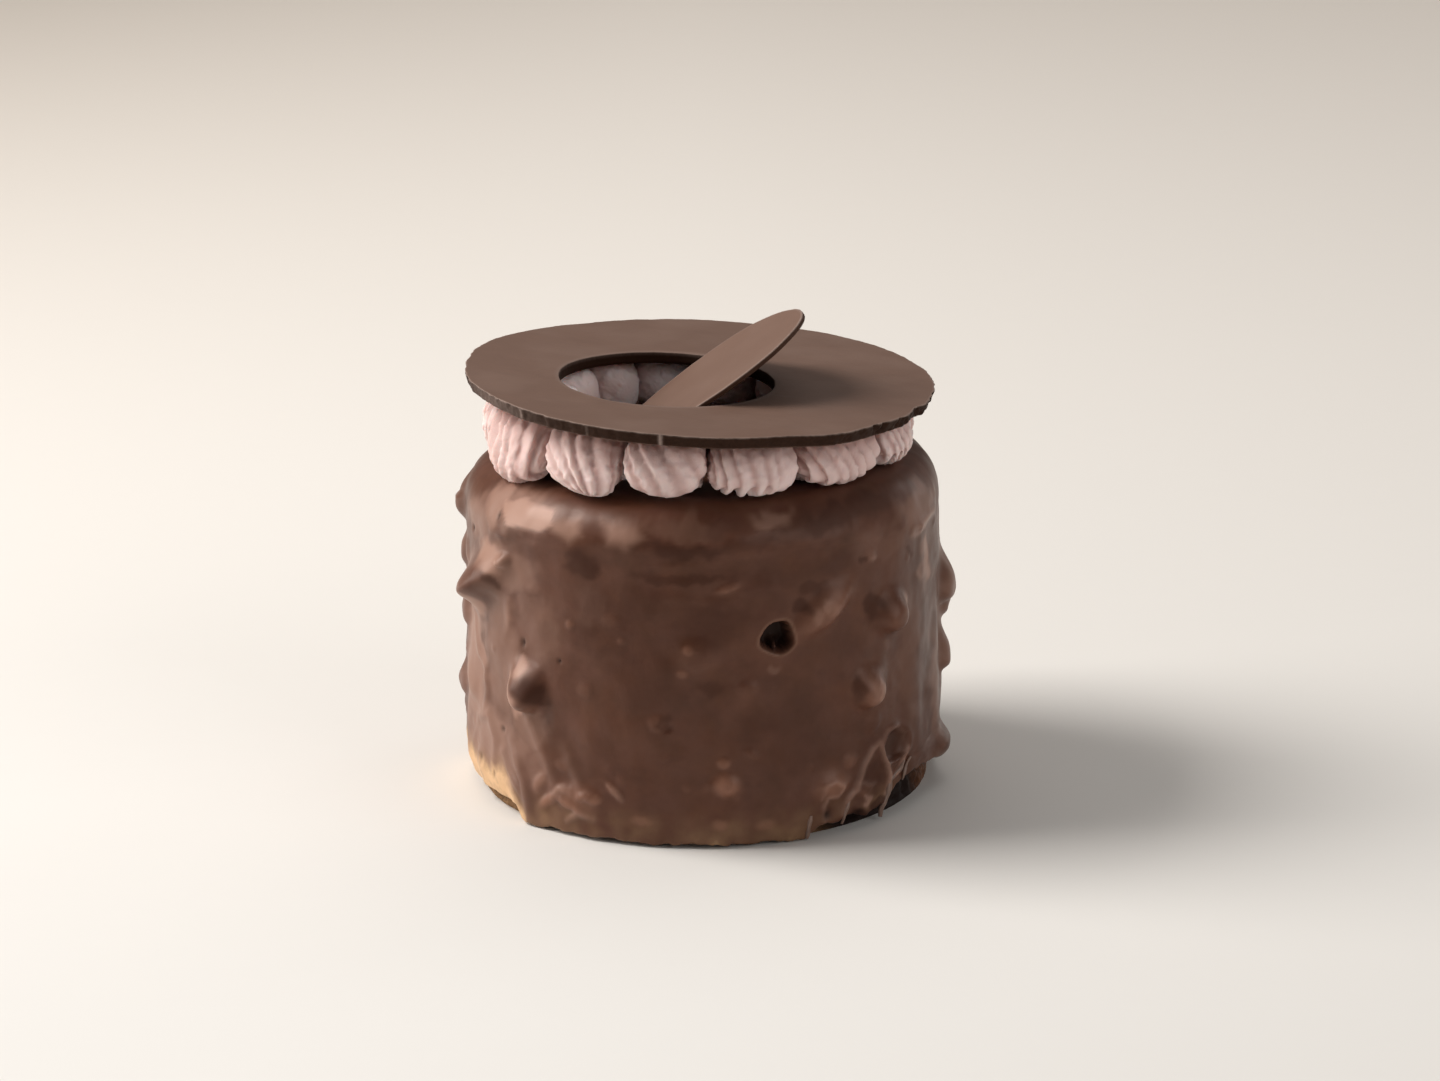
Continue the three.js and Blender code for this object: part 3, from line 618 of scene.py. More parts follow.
def coat_finish(settings):
    """Poured milk chocolate: satin gloss, cloudy, and orange-brown to tan where it is thin, with
    painted highlight and sheen in its pale places and painted shade in its dark places, pinholes
    and pit.
    """
    finish = Finish("poured_chocolate", Specular_IOR_Level=0.35, Coat_Roughness=0.25,
                    Specular_Tint=(1.0, 0.72, 0.62, 1.0), Coat_Tint=(1.0, 0.9, 0.85, 1.0))
    milk = tuple(settings.color)
    thin_color = tuple(settings.thin_color)
    clouds = finish.grain(7.0, 3.0)
    mottle = finish.grain(1.6, 3.0, 0.6)
    base = finish.blend(clouds, [0.50 * c for c in milk], [1.55 * c for c in milk])
    hue = finish.grain(4.0, 2.0)
    warm = finish.blend((hue * 2.4 - 0.7).clamped() * 0.55, base, RED_BROWN)
    stain = finish.grain(5.5, 2.0, 0.5, finish.place((0, 0, 0.7), (1, 1, 1.6)))
    stained = finish.blend((stain * 3.4 - 1.75).clamped() * 0.5, warm, DARK_STAIN)
    speckles = finish.ramp(mottle, [(0.30, (0.9,) * 3), (0.70, (1.1,) * 3)])
    speckled = finish.blend(0.55, stained, speckles, "MULTIPLY")
    thin = (finish.mask("thin") * (0.55 + mottle * 0.9)).clamped()
    amber = [lerp(a, b, 0.22) for a, b in zip(milk, thin_color)]
    half_thin = finish.blend((thin * 2.2).clamped(), speckled, amber)
    shown = finish.blend((thin * 1.8 - 0.8).clamped(), half_thin, thin_color)
    nutty = finish.blend(finish.mask("nut") * (0.7 + mottle * 0.8), shown, NUT_BROWN)
    # Painted highlight and sheen, with some paler coat, where the pale mask lies
    paler = finish.blend(finish.mask("pale"), nutty, tuple(settings.pale_and_highlight_color))
    # Painted shade, with some darker pooled coat, where the dark mask lies
    deep = finish.mask("deep")
    with_dark_and_shade = finish.blend(deep, paler, tuple(settings.dark_and_shade_color))
    # Painted shade in the pinholes, the pit and the hollow
    hole_shade = finish.mask("hole")
    color = finish.blend(hole_shade, with_dark_and_shade, HOLE_SHADE_COLOR)
    fine = finish.grain(0.9, 2.0)
    dull = thin * 0.12 + deep * 0.22 + hole_shade * 0.4
    roughness = (settings.roughness + (mottle - 0.5) * 0.16 + dull).clamped()
    normal = finish.bump(fine, 0.02, 0.4, finish.bump(mottle, 0.05, 0.3))
    return finish.surface(
        Base_Color=color, Roughness=roughness, Coat_Weight=(1 - thin) * (1 - deep) * 0.1,
        Normal=normal)


def thread_finish(settings):
    """Threads of pulled chocolate: thin, paler than the coat, and glossy."""
    finish = Finish("pulled_chocolate", Specular_IOR_Level=0.5, Coat_Weight=0.25,
                    Coat_Roughness=0.2)
    pale = tuple(settings.thread_color)
    veins = finish.grain(0.8, 2.0)
    color = finish.blend(veins, [0.6 * c for c in pale], [1.3 * c for c in pale])
    return finish.surface(Base_Color=color, Roughness=0.32 + veins * 0.12)


def biscuit_finish(settings):
    """Crushed biscuit: pale tan crumbs below, soaked and dark orange-brown above, with painted
    shade in the recess behind the torn coat.
    """
    finish = Finish("crushed_biscuit", Specular_IOR_Level=0.15)
    pale = tuple(settings.color)
    crumbs = finish.grain(0.8, 3.0, 0.65)
    cells = finish.add("TexVoronoi", None, {
        "Vector": finish.place(), "Scale": 1 / (0.9 * MM)}, output="Distance")
    soaked = finish.mask("soaked")
    dry = finish.ramp(crumbs, [(0.3, [0.45 * c for c in pale]), (0.62, pale)])
    wet = finish.ramp(crumbs, [(0.3, SOAKED_DARK), (0.7, SOAKED_LIGHT)])
    # Painted shade in the recess behind the torn coat
    smeared = finish.mask("smeared")
    color = finish.blend(smeared, finish.blend(soaked, dry, wet), BISCUIT_RECESS_SHADE)
    roughness = 0.85 - soaked * 0.35 + smeared * 0.1
    even = 1 - smeared * 0.8
    normal = finish.bump(cells * even, 0.35, 0.5, finish.bump(crumbs * even, 0.3, 0.6))
    return finish.surface(Base_Color=color, Roughness=roughness, Normal=normal)


def cream_finish(settings):
    """Piped cream: matt and soft, with painted shade, darker and pinker, in its grooves, under the
    disc and on shaded shells, and painted light on its inner ends.
    """
    finish = Finish(
        "piped_cream", Specular_IOR_Level=0.35, Subsurface_Weight=0.35,
        Subsurface_Radius=(1.0, 0.55, 0.42), Subsurface_Scale=1.6 * MM)
    light = tuple(settings.color)
    deep = tuple(settings.groove_shade_color)
    froth = finish.grain(0.7, 3.0, 0.6)
    blotches = finish.grain(4.0, 2.0)
    # Painted shade in the grooves, under the disc and on shaded shells
    groove = finish.mask("groove")
    share = (groove * 0.75 + (blotches - 0.5) * 0.6).clamped()
    piped = finish.blend(share, light, deep)
    # Painted light on the inner ends seen through the hole
    color = finish.blend(finish.mask("tail"), piped, PAINTED_TAIL_LIGHT)
    normal = finish.bump(froth, 0.14, 0.6, finish.bump(finish.grain(0.28), 0.04, 0.4))
    roughness = 0.5 + froth * 0.18
    return finish.surface(Base_Color=color, Roughness=roughness, Normal=normal)


def plate_finish(name, settings, lift, edge, rotation, streak_scale):
    """Thin tempered chocolate: satin, faintly streaked, dusty along its edges."""
    finish = Finish(name, Specular_IOR_Level=0.17, Specular_Tint=(1.0, 0.78, 0.67, 1.0))
    brown = tuple(min(1.0, lift * c) for c in settings.color)
    streaks = finish.grain(0.5, 3.0, 0.6, finish.place(rotation, streak_scale))
    clouds = finish.grain(9.0, 2.0)
    fine = finish.grain(0.35, 2.0)
    face = finish.blend(streaks, [0.86 * c for c in brown], [1.14 * c for c in brown])
    bloom = finish.blend((clouds - 0.42).clamped() * 0.8, face, BLOOM)
    # For the disc the side colour is darker than its face: painted shade on its side and its hole's
    # wall
    snapped = finish.blend(fine, [0.39 * c for c in edge], edge)
    side = finish.mask("side")
    sided = finish.blend(side, bloom, snapped)
    dusty = finish.blend(finish.mask("dust") * (0.4 + fine * 0.9), sided, DUST)
    normal = finish.bump(streaks, 0.03, 0.35, finish.bump(fine, 0.05, 0.25))
    roughness = (settings.roughness + side * 0.25 + (streaks - 0.5) * 0.2).clamped()
    return finish.surface(Base_Color=dusty, Roughness=roughness, Normal=normal)


def floor_finish(settings):
    """Pale paper, a little darker far behind, with painted shade at the back on the left and
    slightly in front on the right.
    """
    finish = Finish("studio_paper", Specular_IOR_Level=0.2, Roughness=0.75)
    fibres = finish.grain(6.0, 2.0)
    back = finish.add("SeparateXYZ", None, {"Vector": finish.place()}, output="Y")
    right = finish.add("SeparateXYZ", None, {"Vector": finish.place()}, output="X")
    pale = finish.blend((back * 1.1 + 0.1).clamped(), tuple(settings.floor_color),
                        tuple(settings.backdrop_color))
    # Painted shade at the back on the left, and slightly in front on the right
    shaded = finish.blend((back * right * -5.0).clamped() * 0.85, pale, FLOOR_SHADE)
    color = finish.blend(fibres * 0.02, shaded, FLOOR_FIBRE)
    return finish.surface(Base_Color=color)


# Coat


def spread_nuts(count, azimuths, heights, half_widths, half_heights, proud, sag, shows):
    """The nuts that face away from the front, spread by the golden ratio."""
    golden = (math.sqrt(5) - 1) / 2
    spread = []
    for i in range(count):
        across = (i + 0.5) / count
        up = (i * golden + 0.35) % 1
        big = (i * golden * golden + 0.6) % 1
        spread.append((
            lerp(*azimuths, across), lerp(*heights, up), lerp(*half_widths, big),
            lerp(*half_heights, big), lerp(*proud, big), lerp(*sag, big), 0, lerp(*shows, big)))
    return spread


def strew_grit(count, seed, sizes, proud, shows):
    """Crumbs drawn all round: fewer of them in the smooth middle of the front."""
    draw = np.random.default_rng(seed)
    grit = []
    while len(grit) < count:
        azimuth = draw.uniform(-180, 180)
        height = draw.uniform(1, 42)
        smooth_middle = bell(azimuth / 45) * smooth(8, 16, height)
        if draw.random() < 0.85 * smooth_middle:
            continue
        size = lerp(*sizes, draw.random() ** 2)
        grit.append((
            azimuth, height, size, size * draw.uniform(0.6, 1.1), proud * draw.random() * size,
            0.1 * size, draw.uniform(-60, 60), shows * draw.random()))
    return grit


ALL_NUTS = [*NUTS, *spread_nuts(**HIDDEN_NUTS), *CRUMBS, *strew_grit(**GRIT)]


def across_side(azimuth, at, coat_radius):
    """Millimetres round the coat from azimuth at to azimuth."""
    return np.radians(turns_apart(azimuth, at)) * coat_radius


def along_and_over(azimuth, height, at, level, turn, coat_radius):
    """Millimetres along and over a line that is turned round a place on the side."""
    across = across_side(azimuth, at, coat_radius)
    up = height - level
    cos, sin = math.cos(math.radians(turn)), math.sin(math.radians(turn))
    return across * cos + up * sin, up * cos - across * sin


def nut_relief(azimuth, height, coat_radius):
    """How far the nuts push the coat out and down at places on its side, and show through."""
    out = np.zeros(np.broadcast(azimuth, height).shape)
    down = np.zeros_like(out)
    shown = np.zeros_like(out)
    for at, level, wide, tall, proud, sag, turn, shows in ALL_NUTS:
        along, over = along_and_over(azimuth, height, at, level, turn, coat_radius)
        distance = (along / wide) ** 2 + (over / tall) ** 2
        corner = 1 + 0.05 * np.sin(3 * np.arctan2(over, along) + at)
        dome = np.exp(-(distance * corner) ** NUT_STEEPNESS)
        out += proud * dome
        down += sag * dome
        shown = np.maximum(shown, shows * dome ** 0.8)
    return out, down, shown


def ledge_relief(azimuth, height, coat_radius):
    """How far the ledges stand out: gently from above, and steeply back below their crest."""
    out = np.zeros(np.broadcast(azimuth, height).shape)
    for at, level, half_length, above, below, left, right, turn in LEDGES:
        along, over = along_and_over(azimuth, height, at, level, turn, coat_radius)
        along = along / half_length
        over = over + 0.35 * np.sin(2.4 * along + at)
        side = bell(over / np.where(over > 0, above, below))
        out += lerp(left, right, smooth(-1, 1, along)) * side * np.exp(-along ** 4)
    return out


def coat_swell(azimuth, height):
    """How far the coat's slow unevenness pushes it out at places on its side."""
    out = np.zeros(np.broadcast(azimuth, height).shape)
    for lobes, lean, depth in SWELLS:
        out += depth * np.sin(lobes * np.radians(azimuth) + lean * height)
    for table, curve in ((FOLDS, 0), (RIPPLES, RIPPLE_CURVE)):
        for at, level, wide, tall, depth in table:
            turns = turns_apart(azimuth, at)
            middle = level + curve * turns ** 2
            out += depth * bell(turns / wide) * bell((height - middle) / tall)
    wave = np.sin(2 * np.pi * np.asarray(azimuth) / RUNS["spacing"])
    fade = 1 - smooth(*RUNS["fade"], height)
    return out + RUNS["out"] * wave * bell(turns_apart(azimuth, RUNS["at"]) / RUNS["width"]) * fade


def edge_height(azimuth):
    """Height of the coat's lower edge, a smooth closed line through the heights above."""
    first = LOWER_EDGE[0]
    stops = np.array([*LOWER_EDGE, (first[0] + 360, first[1])])
    position = (np.asarray(azimuth) - first[0]) % 360 + first[0]
    after = np.clip(np.searchsorted(stops[:, 0], position, side="right"), 1, len(stops) - 1)
    low, high = stops[after - 1], stops[after]
    share = (position - low[..., 0]) / (high[..., 0] - low[..., 0])
    return lerp(low[..., 1], high[..., 1], smooth(0, 1, share))


def from_middle(hollow, azimuth, height, coat_radius):
    """Across, up and distance from a hollow's middle, as shares of its half width and height."""
    across = across_side(azimuth, hollow["azimuth"], coat_radius) / hollow["half_width"]
    up = (height - hollow["height"]) / hollow["half_height"]
    return across, up, np.hypot(across, up)


def pit_depth(azimuth, height, coat_radius):
    """The pit: how deep it is at places on the side, how near its raised rim is, and where its
    inside takes painted shade.
    """
    across, up, distance = from_middle(PIT, azimuth, height, coat_radius)
    around = np.arctan2(up, across)
    distance = distance * (1 + 0.05 * np.sin(3 * around + 1) + 0.03 * np.sin(5 * around))
    well = 1 - smooth(0.86, 1.06, distance)
    # The tip of a nut shows at the bottom of the pit
    nib = 0.75 * bell((across + 0.05) / 0.2) * bell((up + 0.72) / 0.3)
    rim = bell((distance - 1.16) / 0.09)
    return PIT["depth"] * well * (1 - nib), rim, well * (1 - nib)


def lip_relief(azimuth, height, coat_radius):
    """How far the rolled lip stands out over the torn stretch."""
    at, level, wide, tall, proud = LIP
    across = across_side(azimuth, at, coat_radius)
    return proud * np.exp(-((across / wide) ** 2 + ((height - level) / tall) ** 2) ** 1.4)


def tucked(azimuth, height):
    """How far the foot curves in."""
    at, wide, depth, top = TUCK
    return depth * bell(turns_apart(azimuth, at) / wide) * (1 - smooth(0.8, top, height))


def hollow_depth(azimuth, height, coat_radius):
    """The smooth hollow at the right, with a sharp lip all round, and how much painted shade lies
    in it.
    """
    _, _, distance = from_middle(HOLLOW, azimuth, height, coat_radius)
    lip = 0.18 * bell((distance - 1.08) / 0.14)
    well = 1 - smooth(0.55, 1.05, distance)
    return HOLLOW["depth"] * well - lip, well


def spread_weeps(count, seed, azimuths, heights, lengths):
    """Wavy upright strokes drawn on the sides and the back."""
    draw = np.random.default_rng(seed)
    weeps = []
    for i in range(count):
        at = lerp(*azimuths, (i + draw.random()) / count)
        top = draw.uniform(*heights)
        low = max(top - draw.uniform(*lengths), 1.0)
        drift = np.cumsum(draw.uniform(-1.6, 1.6, 5))
        path = list(zip(at + drift, np.linspace(top, low, 5)))
        weeps.append((path, draw.uniform(0.4, 0.6), draw.uniform(0.15, 0.3), 0.3))
    return weeps


ALL_STROKES = [*STROKES, *spread_weeps(**WEEPS)]


def stroke_relief(azimuth, height, coat_radius):
    """How far the strokes stand out at places on the side, and how much paler they are painted
    there, mostly as painted highlight along them.
    """
    out = np.zeros(np.broadcast(azimuth, height).shape)
    pale = np.zeros_like(out)
    for path, wide, rise, paler in ALL_STROKES:
        nearest = np.full(out.shape, 99.0)
        taper = np.zeros_like(out)
        for i, ((start, low), (end, high)) in enumerate(zip(path, path[1:])):
            across = across_side(azimuth, start, coat_radius)
            up = height - low
            step = np.array([math.radians(end - start) * coat_radius, high - low])
            share = np.clip((across * step[0] + up * step[1]) / (step @ step), 0, 1)
            away = np.hypot(across - share * step[0], up - share * step[1])
            whole = np.sin(np.pi * np.clip((i + share) / (len(path) - 1), 0.08, 0.92))
            taper = np.where(away < nearest, np.sqrt(whole), taper)
            nearest = np.minimum(nearest, away)
        line = taper * bell(nearest / wide)
        out = np.maximum(out, rise * line)
        pale = np.maximum(pale, paler * line)
    return out, pale


def patches(table, azimuth, height, patchy):
    """How much of the patches in a table lies at places on the side, from 0 to 1."""
    share = np.zeros(np.broadcast(azimuth, height).shape)
    for at, level, wide, tall, most in table:
        patch = bell(turns_apart(azimuth, at) / wide) * bell((height - level) / tall)
        share = np.maximum(share, most * smooth(0.10, 0.75, patch + patchy))
    return np.clip(share, 0, 1)


def painted_highlight_share(azimuth, height, coat_radius):
    """How much painted highlight the highlight polygons lay on places on the side."""
    share = np.zeros(np.broadcast(azimuth, height).shape)
    per_degree = math.radians(coat_radius)
    for corners, soft, most in PAINTED_HIGHLIGHT_POLYGONS:
        inside = np.full(share.shape, 99.0)
        for (start, low), (end, high) in zip(corners, corners[1:] + corners[:1]):
            step = np.array([(end - start) * per_degree, high - low])
            step /= np.linalg.norm(step)
            across = turns_apart(azimuth, start) * per_degree
            inside = np.minimum(inside, step[0] * (height - low) - step[1] * across)
        share = np.maximum(share, most * smooth(-soft, soft, inside))
    return share


def coat_section(coat_radius, coat_top):
    """Rows of the coat's section from its pocket, round its lip, up the side to its top: radius,
    height, whether the row belongs to the skirt, and how far the shoulder has turned."""
    rows = [(radius, POCKET_ROOF, 0, -1) for radius in (8, 18, 26, 31)]
    rows += [(POCKET_RADIUS, POCKET_ROOF, 0, -1)]
    rows += [(POCKET_RADIUS, level, 1, -1) for level in (2.0, 0.6, 0.15)]
    lip = [(0.62, 0.0), (0.35, 0.0), (0.12, 0.08), (0.03, 0.22)]
    rows += [(coat_radius - inset, level, 1, 0) for inset, level in lip]
    rows += [(coat_radius, level, 1, 0) for level in np.arange(0.42, SKIRT_HEIGHT, 0.26)]
    side_top = coat_top - SHOULDER_DROP
    rows += [(coat_radius, level, 0, 0)
             for level in np.linspace(SKIRT_HEIGHT, side_top, SIDE_ROWS)]
    for i in range(1, SHOULDER_ROWS + 1):
        angle = i / SHOULDER_ROWS * math.pi / 2
        turned = 1 - math.cos(angle)
        rows.append((coat_radius - SHOULDER_REACH * turned,
                     side_top + SHOULDER_DROP * math.sin(angle), 0, turned))
    inner = coat_radius - SHOULDER_REACH
    rows += [(inner * share, coat_top, 0, 1) for share in (0.97, 0.93, 0.87, 0.78, 0.6, 0.35, 0.1)]
    return np.array(rows).T


def coat_lumps(base, azimuth, level):
    """How far weeping runs and small lumps push the coat out."""
    weeping = cloud(base, 5.5, 3, 2, (1, 1, 3.5)) * 0.42 * (1 - 0.85 * smooth(*RUNS["fade"], level))
    lumps = cloud(base, 6.0, 5, 2) * 0.22 + cloud(base, 1.9, 8, 2) * 0.035
    sides = 0.35 + 0.65 * smooth(25, 60, np.abs(azimuth))
    return weeping * sides + lumps


def pinhole_mask(azimuth, height, coat_radius):
    """How near places on the side are to the middle of a pinhole, up to 1."""
    near = np.zeros(np.broadcast(azimuth, height).shape)
    for at, level, wide, tall in PINHOLES:
        across = across_side(azimuth, at, coat_radius)
        near = np.maximum(near, bell(across / wide) * bell((height - level) / tall))
    return near


def thin_mask(base, seam, azimuth, height):
    """Where the coat is thin: over the foot on the left, and a little along the front's foot."""
    limit = np.interp(azimuth, *zip(*TAN_FOOT)) + 1.6 * cloud(seam, 2.4, 12, 2)
    low_left = 1 - smooth(limit - 3.6, limit + 1.2, height)
    low_front = 0.34 * (1 - smooth(0.5, 6.5, height)) * (0.6 + cloud(base, 4.0, 9, 2))
    return np.maximum(low_left, np.clip(low_front, 0, 1))


def pale_highlights_dark_and_shade(base, azimuth, height, coat_radius):
    """How pale and how dark the coat is painted, in patches and highlight polygons with wandering
    edges: painted highlight and sheen with some paler coat, and painted shade with some darker
    pooled coat.
    """
    patchy = 0.10 * cloud(base, 3.0, 10, 3)
    warped = (azimuth + 3.4 * cloud(base, 5.0, 13, 3), height + 1.3 * cloud(base, 4.0, 14, 3))
    wavy = (azimuth + 0.8 * cloud(base, 3.0, 15, 2), height + 0.35 * cloud(base, 3.0, 16, 2))
    pale = np.maximum(patches(PALE_AND_HIGHLIGHT_PATCHES, *warped, patchy), painted_highlight_share(*wavy, coat_radius))
    return pale, patches(DARK_AND_SHADE_PATCHES, *warped, patchy)


def coat_grid(settings):
    """Points of the coat, row by row, with its masks."""
    coat_radius, coat_top = settings.radius / MM, settings.height / MM
    radius, level, skirt, turned = (
        column[:, None] for column in coat_section(coat_radius, coat_top))
    turn = np.linspace(-np.pi, np.pi, settings.columns, endpoint=False)
    # Points stand closer together in front
    azimuth = np.degrees(turn - 0.4 * np.sin(turn))[None, :]
    base = on_turn(azimuth, coat_radius, level)
    seam = on_turn(azimuth, coat_radius)

    outside = turned >= 0
    still = outside * (1 - smooth(0.6, 1.0, turned))
    fade = np.where(skirt > 0, smooth(0, SKIRT_HEIGHT, level), 1)
    fade = np.where(turned > 0, SHOULDER_FADE * (1 - smooth(0.6, 1, turned)), fade) * outside
    skew = SHOULDER_SKEW * np.clip(turned, 0, 1) * np.sin(np.radians(azimuth))
    taper = COAT_TAPER * level / coat_top

    out, down, shown = nut_relief(azimuth, level, coat_radius)
    out = out + ledge_relief(azimuth, level, coat_radius)
    push = (coat_swell(azimuth, level) + settings.relief * out) * fade - taper * outside + skew
    pit, rim, well = pit_depth(azimuth, level, coat_radius)
    hollow, hollow_shade = hollow_depth(azimuth, level, coat_radius)
    push = push + coat_lumps(base, azimuth, level) * still + rim * 0.08 - pit - hollow

    edge = np.maximum(edge_height(azimuth) + cloud(seam, 1.6, 4) * 0.3, 0.06)
    height = np.where(skirt > 0, lerp(edge, SKIRT_HEIGHT, level / SKIRT_HEIGHT), level)
    height = height - settings.relief * down * fade
    height = np.where(turned < 0, np.minimum(height, POCKET_ROOF), height)
    stroke, stroke_pale_and_highlight = stroke_relief(azimuth, height, coat_radius)
    push = push + (stroke + lip_relief(azimuth, height, coat_radius)) * still
    push = push - tucked(azimuth, height) * still
    pinholes = pinhole_mask(azimuth, height, coat_radius) * still
    push = push - 0.28 * pinholes
    points = on_turn(azimuth, radius + push, height)
    points[..., 0] += COAT_LEAN

    pale, deep = pale_highlights_dark_and_shade(base, azimuth, height, coat_radius)
    # The pit's raised rim is painted a little paler in the thin and pale masks: a painted highlight
    # on its edge
    masks = {"thin": thin_mask(base, seam, azimuth, height) + 0.10 * rim,
             "nut": shown,
             "pale": np.maximum(np.maximum(pale, stroke_pale_and_highlight), 0.16 * rim),
             "deep": deep,
             # The hole mask paints shade in the pinholes, the pit and the hollow
             "hole": 0.9 * pinholes + 0.9 * smooth(0.1, 0.6, well) + 0.35 * hollow_shade}
    return points, {title: mask_with_ends(np.clip(values, 0, 1) * outside)
                    for title, values in masks.items()}


def curve_through(stops, steps):
    """A smooth curve through its stops, with so many steps from each to the next."""
    ends = np.vstack([2 * stops[0] - stops[1], stops, 2 * stops[-1] - stops[-2]])
    curve = []
    for i in range(len(stops) - 1):
        p0, p1, p2, p3 = ends[i:i + 4]
        for t in np.arange(steps) / steps:
            curve.append(0.5 * (2 * p1 + (p2 - p0) * t + (2 * p0 - 5 * p1 + 4 * p2 - p3) * t ** 2
                                + (3 * p1 - p0 - 3 * p2 + p3) * t ** 3))
    return np.array([*curve, stops[-1]])


def thread_mesh(path, radius, coat_radius, coat_top):
    """A thread that lies on the coat's side, or hangs where the coat has gone."""
    azimuth, height = curve_through(np.array(path, float), THREAD_STEPS).T
    out, _, _ = nut_relief(azimuth, height, coat_radius)
    fade = smooth(0, SKIRT_HEIGHT, height)
    surface = coat_radius + (coat_swell(azimuth, height) + out) * fade
    surface -= COAT_TAPER * height / coat_top
    hanging = smooth(0.2, -0.8, height - edge_height(azimuth))
    hollow, _ = hollow_depth(azimuth, height, coat_radius)
    surface -= np.maximum(hollow, 0)
    centres = on_turn(azimuth, surface + 0.1 * radius - 0.3 * hanging, np.maximum(height, radius))
    centres[:, 0] += COAT_LEAN
    share = np.linspace(0, 1, len(centres))
    thick = radius * (0.45 + 0.55 * np.sin(np.pi * np.clip(share, 0.08, 0.94)))
    thick = thick * (1 + 0.22 * np.sin(9 * share + azimuth[0]))
    forward = np.gradient(centres, axis=0)
    forward /= np.linalg.norm(forward, axis=1, keepdims=True)
    outward = on_turn(azimuth, 1.0)
    across = np.cross(forward, outward)
    across /= np.linalg.norm(across, axis=1, keepdims=True)
    outward = np.cross(across, forward)
    around = np.linspace(0, 2 * np.pi, THREAD_COLUMNS, endpoint=False)[None, :, None]
    spokes = 1.3 * np.cos(around) * across[:, None, :] + np.sin(around) * outward[:, None, :]
    return lathe(centres[:, None, :] + thick[:, None, None] * spokes)


def joined(parts):
    """Points and faces of several meshes as those of one."""
    points, faces, count = [], [], 0
    for part_points, part_faces in parts:
        points.append(part_points)
        faces += [[count + corner for corner in face] for face in part_faces]
        count += len(part_points)
    return np.vstack(points), faces


# Biscuit base


def biscuit_grid(settings):
    """A disc of crushed biscuit with a crumbly side, the mask of its soaked upper layer, and the
    mask of painted shade in its scooped recess.
    """
    radius, height = settings.radius / MM, settings.height / MM
    azimuth = np.linspace(-180, 180, BISCUIT_COLUMNS, endpoint=False)[None, :]
    side = np.linspace(0.12, height, BISCUIT_ROWS)
    levels = np.array([0, 0, 0, *side, height, height])[:, None]
    shares = np.array([0.5, 0.9, 0.985, *np.ones(len(side)), 0.9, 0.4])[:, None]
    base = on_turn(azimuth, shares * radius, levels)
    rough = cloud(base, 1.5, 21, 3) * 0.55 + cloud(base, 0.7, 22, 2) * 0.25
    ledge = 0.35 * smooth(0.25, -0.1, cloud(base, 3.0, 23, 1)) * smooth(2.6, 2.0, levels)
    on_side = (shares == 1) * smooth(0, 0.6, levels)
    out = np.minimum(rough - 0.45 + ledge, 0) * on_side - 0.25 * (1 - on_side) * (shares == 1)
    scooped = bell(turns_apart(azimuth, SCOOP["azimuth"]) / SCOOP["width"])
    out = out - SCOOP["depth"] * scooped * on_side
    points = on_turn(azimuth, shares * radius + out, levels)
    points[..., 0] += COAT_LEAN
    line = SOAKED["above"] + 0.5 * cloud(on_turn(azimuth, radius), 4.0, 24, 2)
    torn = bell(turns_apart(azimuth, SOAKED["azimuth"]) / SOAKED["width"])
    soaked = np.maximum(smooth(-0.25, 0.35, levels - line), 0.95 * torn)
    # Painted shade where the biscuit is scooped out
    smeared = smooth(0.25, 0.7, scooped)
    shape = points.shape[:2]
    return points, {"soaked": mask_with_ends(np.broadcast_to(soaked, shape)),
                    "smeared": mask_with_ends(np.broadcast_to(smeared, shape))}


# Cream shells


def shell_bounds():
    """Azimuths between the shells: the gaps that show, and even steps with a small change."""
    bounds = [SEEN_GAPS[0]]
    for gap, following in zip(SEEN_GAPS, [*SEEN_GAPS[1:], SEEN_GAPS[0] + 360]):
        shells = round((following - gap) / SHELL_STEP)
        for k in range(1, shells + 1):
            uneven = 1.3 * math.sin(2.4 * k) if k < shells else 0
            bounds.append(lerp(gap, following, k / shells) + uneven)
    return bounds


def disc_underside(x, thickness):
    return DISC_MIDDLE[2] - thickness - DISC_SLOPE * (x - DISC_MIDDLE[0])


def coat_floor(radius, azimuth, sizes):
    """Height of the coat's top and shoulder at a distance from the cake's axis."""
    reach = SHOULDER_REACH - SHOULDER_SKEW * np.sin(azimuth)
    level = 1 - np.clip((sizes["coat_radius"] - COAT_TAPER - radius) / reach, 0, 1)
    return sizes["coat_top"] - SHOULDER_DROP * (1 - np.sqrt(1 - level ** 2))


def shell_axis(tail, room, along):
    """Points and headings, outward and upward, of the bent line that a shell is piped on."""
    stops = np.array([
        SHELL_FOOT, (SHELL_BEND, room * 0.95), (lerp(tail, SHELL_BEND, 0.55), room * 0.5),
        (tail, room * 0.5)])
    a, b, c, d = stops[:, None, :]
    t = along[:, None]
    middle = (1 - t) ** 3 * a + 3 * (1 - t) ** 2 * t * b + 3 * (1 - t) * t ** 2 * c + t ** 3 * d
    heading = (1 - t) ** 2 * (b - a) + 2 * (1 - t) * t * (c - b) + t ** 2 * (d - c)
    heading /= np.linalg.norm(heading, axis=1, keepdims=True)
    return middle[:, 0:1], middle[:, 1:2], heading[:, 0:1], heading[:, 1:2]


